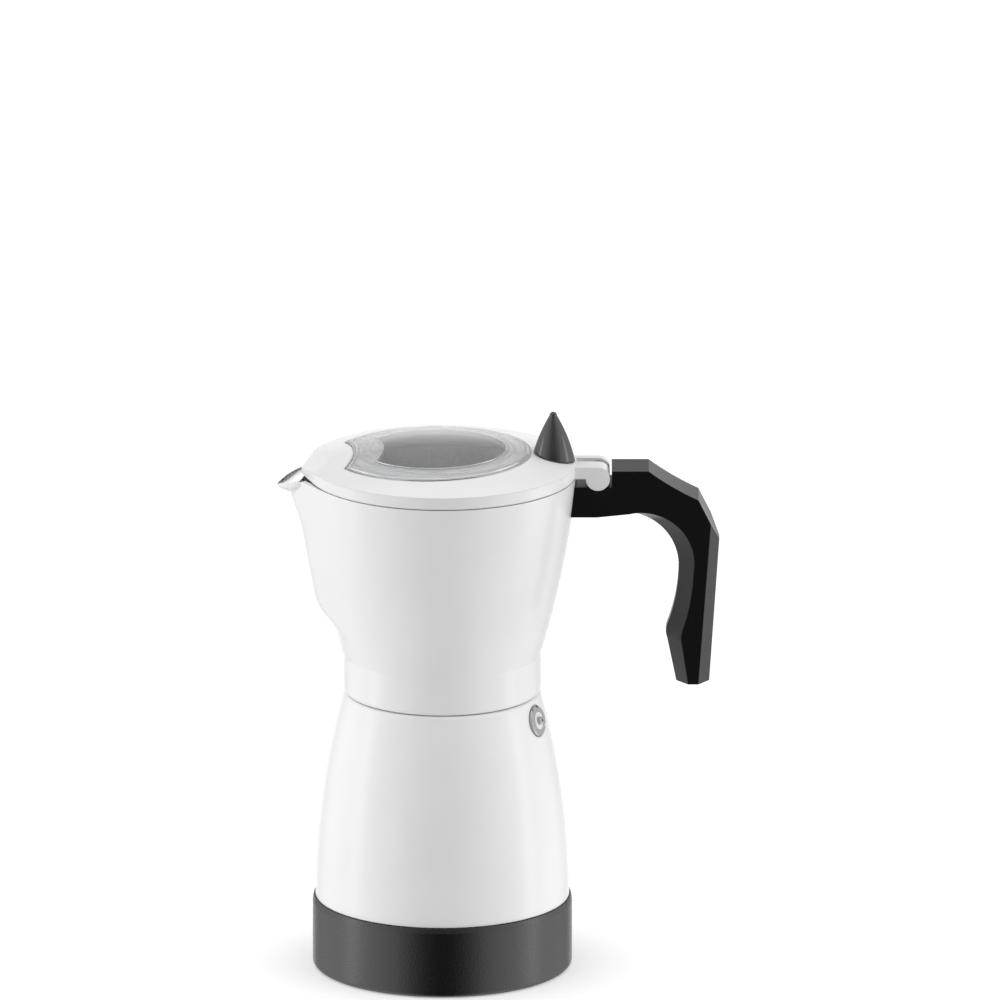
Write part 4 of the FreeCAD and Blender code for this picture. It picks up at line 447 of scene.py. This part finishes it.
def turned_steel(name, tone, roughness):
    """Bright metal with faint marks of turning."""
    surface = Surface(name, Metallic=1.0)
    marks = surface.noise(0.25 * MM, detail=2, stretch=(0.2, 0.2, 1))
    shade = surface.vary(marks, tone * 0.92, tone, GRAIN_REACH)
    surface.set("Base Color", surface.grey(shade, (1, 0.995, 0.985)))
    surface.set("Roughness", surface.vary(marks, roughness * 0.8, roughness * 1.2, GRAIN_REACH))
    surface.relief(marks, 0.01 * MM, edge=0.12 * MM)
    return surface.material


def contact_brass():
    """Brass that is a little worn."""
    surface = Surface("contact_brass", Metallic=1.0)
    wear = surface.noise(2 * MM, detail=4)
    surface.set("Base Color", surface.grey(surface.vary(wear, 0.62, 0.78), (1, 0.78, 0.42)))
    surface.set("Roughness", surface.vary(wear, 0.2, 0.35))
    surface.relief(wear, 0.01 * MM, edge=0.1 * MM)
    return surface.material


def moulded_plastic(name, color, roughness, grain_size, grain_depth, specular=0.5):
    """Moulded plastic whose tool was etched with a grain."""
    surface = Surface(name, IOR=PLASTIC_IOR, Specular_IOR_Level=specular)
    grain = surface.noise(grain_size, detail=3, roughness=0.6)
    shade = surface.vary(grain, 0.8, 1.2, GRAIN_REACH)
    cloud = surface.vary(surface.noise(20 * MM, detail=2), 0.94, 1.06)
    surface.set("Base Color", surface.grey(surface.math("MULTIPLY", shade, cloud), color))
    surface.set("Roughness", surface.vary(grain, roughness * 0.88, roughness * 1.12, GRAIN_REACH))
    surface.relief(grain, grain_depth, edge=0.3 * MM)
    return surface.material


def gloss_plastic(name, tone, roughness, edge=0.4 * MM):
    """Smooth glossy moulded plastic."""
    surface = Surface(name, IOR=PLASTIC_IOR)
    cloud = surface.noise(18 * MM, detail=3)
    surface.set("Base Color", surface.grey(surface.vary(cloud, tone - 0.01, tone + 0.01)))
    surface.set("Roughness", surface.vary(cloud, roughness * 0.85, roughness * 1.15))
    surface.relief(surface.noise(2.2 * MM, detail=1), 0.004 * MM, edge)
    return surface.material


def rubber(name, tone):
    """Matt rubber with a faint bloom."""
    surface = Surface(name, Specular_IOR_Level=0.35)
    bloom = surface.noise(4 * MM, detail=4, roughness=0.65)
    surface.set("Base Color", surface.grey(surface.vary(bloom, tone * 0.9, tone * 1.08), (1, 1, 0.985)))
    surface.set("Roughness", surface.vary(bloom, 0.55, 0.75))
    surface.relief(surface.noise(0.3 * MM), 0.02 * MM, edge=0.2 * MM)
    return surface.material


# The clear opening in the lid: a disc with a round bite towards the spout
WINDOW_OPENING = {"radius": 27.8 * MM, "shift": 3.0 * MM, "bite_radius": 45.6 * MM, "bite_place": 22.7 * MM}
WINDOW_FADE = 0.2 * MM
WINDOW_TONES = {"clear": 0.8, "border": 0.98}
WINDOW_ROUGHNESS = {"clear": (0.015, 0.035), "border": (0.12, 0.2)}


def smoky_window():
    """Clear smoked plastic. Its border lies on the lid and is lightly frosted from behind."""
    surface = Surface("smoky_window", IOR=PLASTIC_IOR, Transmission_Weight=1.0)
    opening = WINDOW_OPENING
    outside_disc = surface.math("SUBTRACT", surface.distance_from(-opening["shift"], 0), opening["radius"])
    bite_x = -opening["bite_place"] - opening["bite_radius"]
    inside_bite = surface.math("SUBTRACT", opening["bite_radius"], surface.distance_from(bite_x, 0))
    beyond = surface.math("MAXIMUM", outside_disc, inside_bite)
    border = surface.remap(beyond, -WINDOW_FADE, WINDOW_FADE)
    haze = surface.noise(6 * MM, detail=3)
    tone = surface.mix(border, WINDOW_TONES["clear"], WINDOW_TONES["border"])
    surface.set("Base Color", surface.grey(tone, (0.985, 0.99, 1.0)))
    clear = surface.vary(haze, *WINDOW_ROUGHNESS["clear"])
    frosted = surface.vary(haze, *WINDOW_ROUGHNESS["border"])
    surface.set("Roughness", surface.mix(border, clear, frosted))
    surface.relief(haze, 0.003 * MM, edge=0.2 * MM)
    return surface.material


# The near blacks of the plastics
BASE_BLACK = (0.003, 0.003, 0.0031)
COVER_BLACK = (0.016, 0.016, 0.0165)
SOCKET_BLACK = (0.014, 0.014, 0.0145)
HANDLE_BLACK = (0.002, 0.002, 0.0021)
KNOB_BLACK = (0.005, 0.005, 0.0052)


def dress(material, *names):
    """Gives CAD nodes their finish."""
    for name in names:
        for slot in frame["nodes"][name].material_slots:
            slot.material = material


def dress_boiler():
    """The boiler with its base, valve, contacts, leads and seals."""
    enamel = white_enamel("boiler_enamel", boiler_paint, (0.86, 0.98), (0.42, 0.58), LIP_LEVEL)
    dress(enamel, "boiler_vessel")
    etched = moulded_plastic("base_plastic", BASE_BLACK, 0.26, 0.7 * MM, 0.07 * MM, specular=0.8)
    dress(etched, "base_housing")
    dress(moulded_plastic("cover_plastic", COVER_BLACK, 0.55, 0.4 * MM, 0.03 * MM), "base_cover")
    dress(moulded_plastic("socket_plastic", SOCKET_BLACK, 0.4, 0.4 * MM, 0.01 * MM), "coupler_socket")
    dress(turned_steel("valve_chrome", 0.45, 0.2), "valve_body", "valve_pin")
    dress(gloss_plastic("pale_nylon", 0.82, 0.45), "valve_bush")
    dress(contact_brass(), "coupler_contacts")
    dress(rubber("gasket_silicone", 0.8), "gasket")
    dress(rubber("black_rubber", 0.03), "base_seal")
    dress(rubber("lead_silicone", 0.6), "lead_wires")


def dress_jug():
    """The jug with its handle and lid."""
    dress(white_enamel("jug_enamel", jug_paint, (0.80, 0.95), (0.18, 0.30)), "jug_shell")
    dress(gloss_plastic("lid_plastic", 0.87, 0.22, edge=1.0 * MM), "lid_shell", "window_ring")
    black = moulded_plastic("handle_plastic", HANDLE_BLACK, 0.3, 0.6 * MM, 0.012 * MM, specular=0.55)
    dress(black, "handle")


def dress_inner_parts():
    """The funnel, its plate, the castings and the steel pieces. Returns the steel."""
    dress(funnel_aluminium(), "funnel_cup", "funnel_tube", "funnel_sieve")
    plate = blasted_aluminium("plate_aluminium", (0.88, 0.99), (0.42, 0.55), 0.012 * MM, edge=0.08 * MM)
    dress(plate, "filter_plate")
    casting = blasted_aluminium("cast_aluminium", (0.7, 0.9), (0.4, 0.55), 0.05 * MM, 0.8 * MM, 0.4 * MM)
    dress(casting, "riser_column", "heater_plate")
    steel = turned_steel("zinc_steel", 0.55, 0.3)
    dress(
        steel,
        "base_screws", "socket_screws", "handle_screw", "knob_screw", "knob_washer", "hinge_pin",
        "heating_element", "thermostat", "thermal_fuse", "fuse_clip", "valve_spring",
    )
    return steel


# Pieces that the frame leaves to this script
def add_piece(name, corners, faces, material, body):
    """A smooth mesh piece that rides on a body."""
    mesh = bpy.data.meshes.new(name)
    mesh.from_pydata(corners, [], faces)
    mesh.shade_smooth()
    mesh.materials.append(material)
    piece = bpy.data.objects.new(name, mesh)
    scene.collection.objects.link(piece)
    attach(piece, body)
    return piece


def circle(centre, radius, steps):
    """Points on a level circle."""
    points = []
    for step in range(steps):
        angle = 2 * math.pi * step / steps
        points.append(centre + Vector((math.cos(angle), math.sin(angle), 0)) * radius)
    return points


def ring_faces(rings, around, closed=False):
    """Faces between rings of corners, and from the last back to the first if closed."""
    faces = []
    for ring in range(rings if closed else rings - 1):
        here = ring * around
        beyond = (ring + 1) % rings * around
        for index in range(around):
            beside = (index + 1) % around
            faces.append((here + index, here + beside, beyond + beside, beyond + index))
    return faces


def end_faces(rings, around):
    """Faces that close the last and the first of the rings."""
    last = (rings - 1) * around
    return [tuple(range(last, last + around)), tuple(range(around - 1, -1, -1))]


def bead(path, radius, centre, sides):
    """Corners and faces of a thin closed bead along a closed path on a ball round centre."""
    corners = []
    count = len(path)
    for index, point in enumerate(path):
        along = (path[(index + 1) % count] - path[index - 1]).normalized()
        up = (point - centre).normalized()
        side = along.cross(up).normalized()
        for number in range(sides):
            angle = 2 * math.pi * number / sides
            corners.append(point + (side * math.cos(angle) + up * math.sin(angle)) * radius)
    return corners, ring_faces(count, sides, closed=True)


# Thread of the neck: millimetres. A wide crest over a narrow groove.
THREAD = {
    "root": 34.7, "crest": 36.1, "pitch": 3.6, "width": 3.0, "low": 114.2, "high": 121.0, "fullness": 0.6
}
# Steps in one turn, steps in which it runs out at each end, and steps across its crest
THREAD_STEPS = 180
THREAD_RUNOUT = 30
THREAD_ACROSS = 14


def neck_thread(material):
    """Rolled thread round the boiler's neck: a right-hand helix that runs out at both ends."""
    turns = (THREAD["high"] - THREAD["low"]) / THREAD["pitch"]
    steps = round(turns * THREAD_STEPS)
    corners = []
    for step in range(steps + 1):
        angle = 2 * math.pi * (step / THREAD_STEPS - turns)
        middle = THREAD["low"] + THREAD["pitch"] * step / THREAD_STEPS
        runout = min(1, step / THREAD_RUNOUT, (steps - step) / THREAD_RUNOUT)
        rise = (THREAD["crest"] - THREAD["root"]) * math.sin(runout * math.pi / 2)
        for index in range(THREAD_ACROSS + 1):
            turn = math.pi * index / THREAD_ACROSS
            radius = THREAD["root"] + rise * math.sin(turn) ** THREAD["fullness"]
            height = middle - 0.5 * THREAD["width"] * math.cos(turn)
            corners.append((radius * math.cos(angle) * MM, radius * math.sin(angle) * MM, height * MM))
    faces = []
    ring = THREAD_ACROSS + 1
    for step in range(steps):
        first = step * ring
        for low in range(first, first + THREAD_ACROSS):
            faces.append((low, low + ring, low + ring + 1, low + 1))
        faces.append((first, first + THREAD_ACROSS, first + ring + THREAD_ACROSS, first + ring))
    faces += end_faces(steps + 1, ring)
    add_piece("neck_thread", corners, faces, material, "boiler")


# Lid: its dome is part of a ball, and its window a disc with a round bite towards the spout
DOME = {"radius": 206.5 * MM, "centre": Vector((0, 0, 5.57 * MM))}
WINDOW = {"radius": 39.0 * MM, "shift": 4.0 * MM, "bite_radius": 50.6 * MM, "bite_place": 34.7 * MM}
WINDOW_BEADS = {
    "window_edge_bead": {"outline": WINDOW, "inset": 1.3 * MM, "radius": 0.22 * MM},
    "window_inner_bead": {"outline": WINDOW_OPENING, "inset": -0.5 * MM, "radius": 0.18 * MM},
}
DISC_STEPS = 180
BITE_STEPS = 60
BEAD_SIDES = 10


def on_dome(x, y):
    """Height of the lid's dome."""
    return DOME["centre"].z + math.sqrt(DOME["radius"] ** 2 - x * x - y * y)


def bitten_outline(sizes, inset):
    """Points round a disc with a concave bite towards the spout, on the dome and drawn in by inset."""
    radius = sizes["radius"] - inset
    bite = sizes["bite_radius"] + inset
    middle = -sizes["shift"]
    bite_middle = -sizes["bite_place"] - sizes["bite_radius"]
    apart = middle - bite_middle
    half_disc = math.pi - math.acos((radius**2 + apart**2 - bite**2) / (2 * radius * apart))
    half_bite = math.acos((bite**2 + apart**2 - radius**2) / (2 * bite * apart))
    flat = []
    for step in range(DISC_STEPS):
        angle = -half_disc + 2 * half_disc * step / DISC_STEPS
        flat.append((middle + radius * math.cos(angle), radius * math.sin(angle)))
    for step in range(BITE_STEPS):
        angle = half_bite - 2 * half_bite * step / BITE_STEPS
        flat.append((bite_middle + bite * math.cos(angle), bite * math.sin(angle)))
    return [Vector((x, y, on_dome(x, y))) for x, y in flat]


def window_beads(material):
    """Two fine beads moulded on the window: inside its edge, and round the clear opening."""
    for name, sizes in WINDOW_BEADS.items():
        outline = bitten_outline(sizes["outline"], sizes["inset"])
        corners, faces = bead(outline, sizes["radius"], DOME["centre"], BEAD_SIDES)
        add_piece(name, corners, faces, material, "lid")


# Filter plate: millimetres. The stud's outline gives its radius and its height over the plate.
PLATE = {"thickness": 0.8, "field": 27.0, "rings": 8, "first_ring": 3, "holes_per_step": 6}
BURR = {"radius": 0.5, "wire": 0.12}
BURR_STEPS = 12
BURR_SIDES = 6
STUD = (
    (2.5, -0.1), (2.62, 0.1), (2.62, 1.2), (2.75, 1.5),
    (2.75, 2.2), (2.55, 2.5), (2.1, 2.55), (1.7, 2.45),
)
STUD_AROUND = 48


def plate_top():
    """Height of the filter plate's upper face at rest."""
    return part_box("filter_plate")[0][2] + PLATE["thickness"] * MM


def plate_burrs(material):
    """The fine raised edge that punching leaves round each hole of the filter plate."""
    corners = []
    faces = []
    middle = Vector((0, 0, plate_top()))
    for ring in range(PLATE["first_ring"], PLATE["rings"] + 1):
        reach = PLATE["field"] * ring / PLATE["rings"] * MM
        for hole in circle(middle, reach, PLATE["holes_per_step"] * ring):
            path = circle(hole, BURR["radius"] * MM, BURR_STEPS)
            more_corners, more_faces = bead(path, BURR["wire"] * MM, hole - Vector((0, 0, 1)), BURR_SIDES)
            faces += [tuple(corner + len(corners) for corner in face) for face in more_faces]
            corners += more_corners
    add_piece("plate_burrs", corners, faces, material, "filter")


def plate_stud(material):
    """Turned stud in the middle of the filter plate, round its tab."""
    corners = []
    foot = plate_top()
    for radius, rise in STUD:
        corners += circle(Vector((0, 0, foot + rise * MM)), radius * MM, STUD_AROUND)
    faces = ring_faces(len(STUD), STUD_AROUND) + end_faces(len(STUD), STUD_AROUND)
    add_piece("plate_stud", corners, faces, material, "filter")


# Spring of the safety valve: millimetres
SPRING = {"radius": 1.95, "wire": 0.24, "length": 4.4, "turns": 5, "travel": 1.5}
SPRING_STEPS = 150
SPRING_SIDES = 10


def joint_axis(name):
    """Direction of a joint of the frame."""
    axes = [joint["axis"] for joint in frame["joints"] if joint["name"] == name]
    return Vector(axes[0])


def relief_spring(material):
    """Coil spring that the pin of the safety valve presses together against its bush."""
    axis = joint_axis("valve_relief")
    across = axis.cross(Vector((0, 0, 1))).normalized()
    up = across.cross(axis)
    low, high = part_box("valve_spring")
    middle = (Vector(low) + Vector(high)) / 2
    rise = SPRING["length"] - 2 * SPRING["wire"]
    corners = []
    for step in range(SPRING_STEPS + 1):
        angle = 2 * math.pi * SPRING["turns"] * step / SPRING_STEPS
        outwards = across * math.cos(angle) + up * math.sin(angle)
        point = outwards * SPRING["radius"] + axis * rise * (step / SPRING_STEPS - 0.5)
        for number in range(SPRING_SIDES):
            turn = 2 * math.pi * number / SPRING_SIDES
            rim = (outwards * math.cos(turn) + axis * math.sin(turn)) * SPRING["wire"]
            corners.append(middle + (point + rim) * MM)
    faces = ring_faces(SPRING_STEPS + 1, SPRING_SIDES) + end_faces(SPRING_STEPS + 1, SPRING_SIDES)
    spring = add_piece("relief_spring", corners, faces, material, "boiler")
    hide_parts("valve_spring")
    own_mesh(spring)


# Knob: its tip is a small ball, its sides bulge, and its foot is sunk a little into the dome
KNOB = {"radius": 8.6 * MM, "tip": 1.5 * MM, "bulge": 0.85 * MM, "sunk": 0.05 * MM}
KNOB_AROUND = 72
KNOB_UP = 28
KNOB_TIP_STEPS = 8


def horn_knob(material):
    """Horn on the lid with slightly convex sides. Its foot follows the dome."""
    low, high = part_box("knob")
    x = (low[0] + high[0]) / 2
    top = high[2]
    radius = KNOB["radius"]
    tip = KNOB["tip"]
    foot = on_dome(x + radius, 0)
    shoulder = top - tip

    def side(z):
        """Radius of the horn at a height."""
        rise = (z - foot) / (shoulder - foot)
        return radius + (tip - radius) * rise + 4 * KNOB["bulge"] * rise * (1 - rise)

    corners = []
    for step in range(KNOB_UP + 1):
        for index in range(KNOB_AROUND):
            angle = 2 * math.pi * index / KNOB_AROUND
            start = on_dome(x + radius * math.cos(angle), radius * math.sin(angle)) - KNOB["sunk"]
            z = start + (shoulder - start) * step / KNOB_UP
            corners.append((x + side(z) * math.cos(angle), side(z) * math.sin(angle), z))
    for step in range(1, KNOB_TIP_STEPS):
        lift = 0.5 * math.pi * step / KNOB_TIP_STEPS
        middle = Vector((x, 0, shoulder + tip * math.sin(lift)))
        corners += circle(middle, tip * math.cos(lift), KNOB_AROUND)
    rings = KNOB_UP + KNOB_TIP_STEPS
    faces = ring_faces(rings, KNOB_AROUND)
    last = (rings - 1) * KNOB_AROUND
    peak = len(corners)
    corners.append((x, 0, top))
    for index in range(KNOB_AROUND):
        faces.append((last + index, last + (index + 1) % KNOB_AROUND, peak))
    faces.append(tuple(range(KNOB_AROUND - 1, -1, -1)))
    knob = add_piece("horn_knob", corners, faces, material, "lid")
    knob.data.polygons[len(faces) - 1].use_smooth = False
    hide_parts("knob")


def make_pot():
    """Dresses the nodes, and adds the pieces of this script with their finishes."""
    dress_boiler()
    dress_jug()
    window = smoky_window()
    dress(window, "lid_window")
    window_beads(window)
    knob_plastic = moulded_plastic("knob_plastic", KNOB_BLACK, 0.15, 0.6 * MM, 0.002 * MM, specular=1.0)
    dress(knob_plastic, "knob")
    horn_knob(knob_plastic)
    steel = dress_inner_parts()
    plate_burrs(blasted_aluminium("burr_aluminium", (0.88, 0.98), (0.28, 0.36), 0.002 * MM))
    plate_stud(blasted_aluminium("polished_aluminium", (0.93, 0.99), (0.14, 0.2), 0.002 * MM))
    relief_spring(steel)
    neck_thread(blasted_aluminium("thread_aluminium", (0.86, 0.97), (0.26, 0.36), 0.01 * MM))


make_camera()
make_world()
make_floor()
make_lamps()
make_pot()
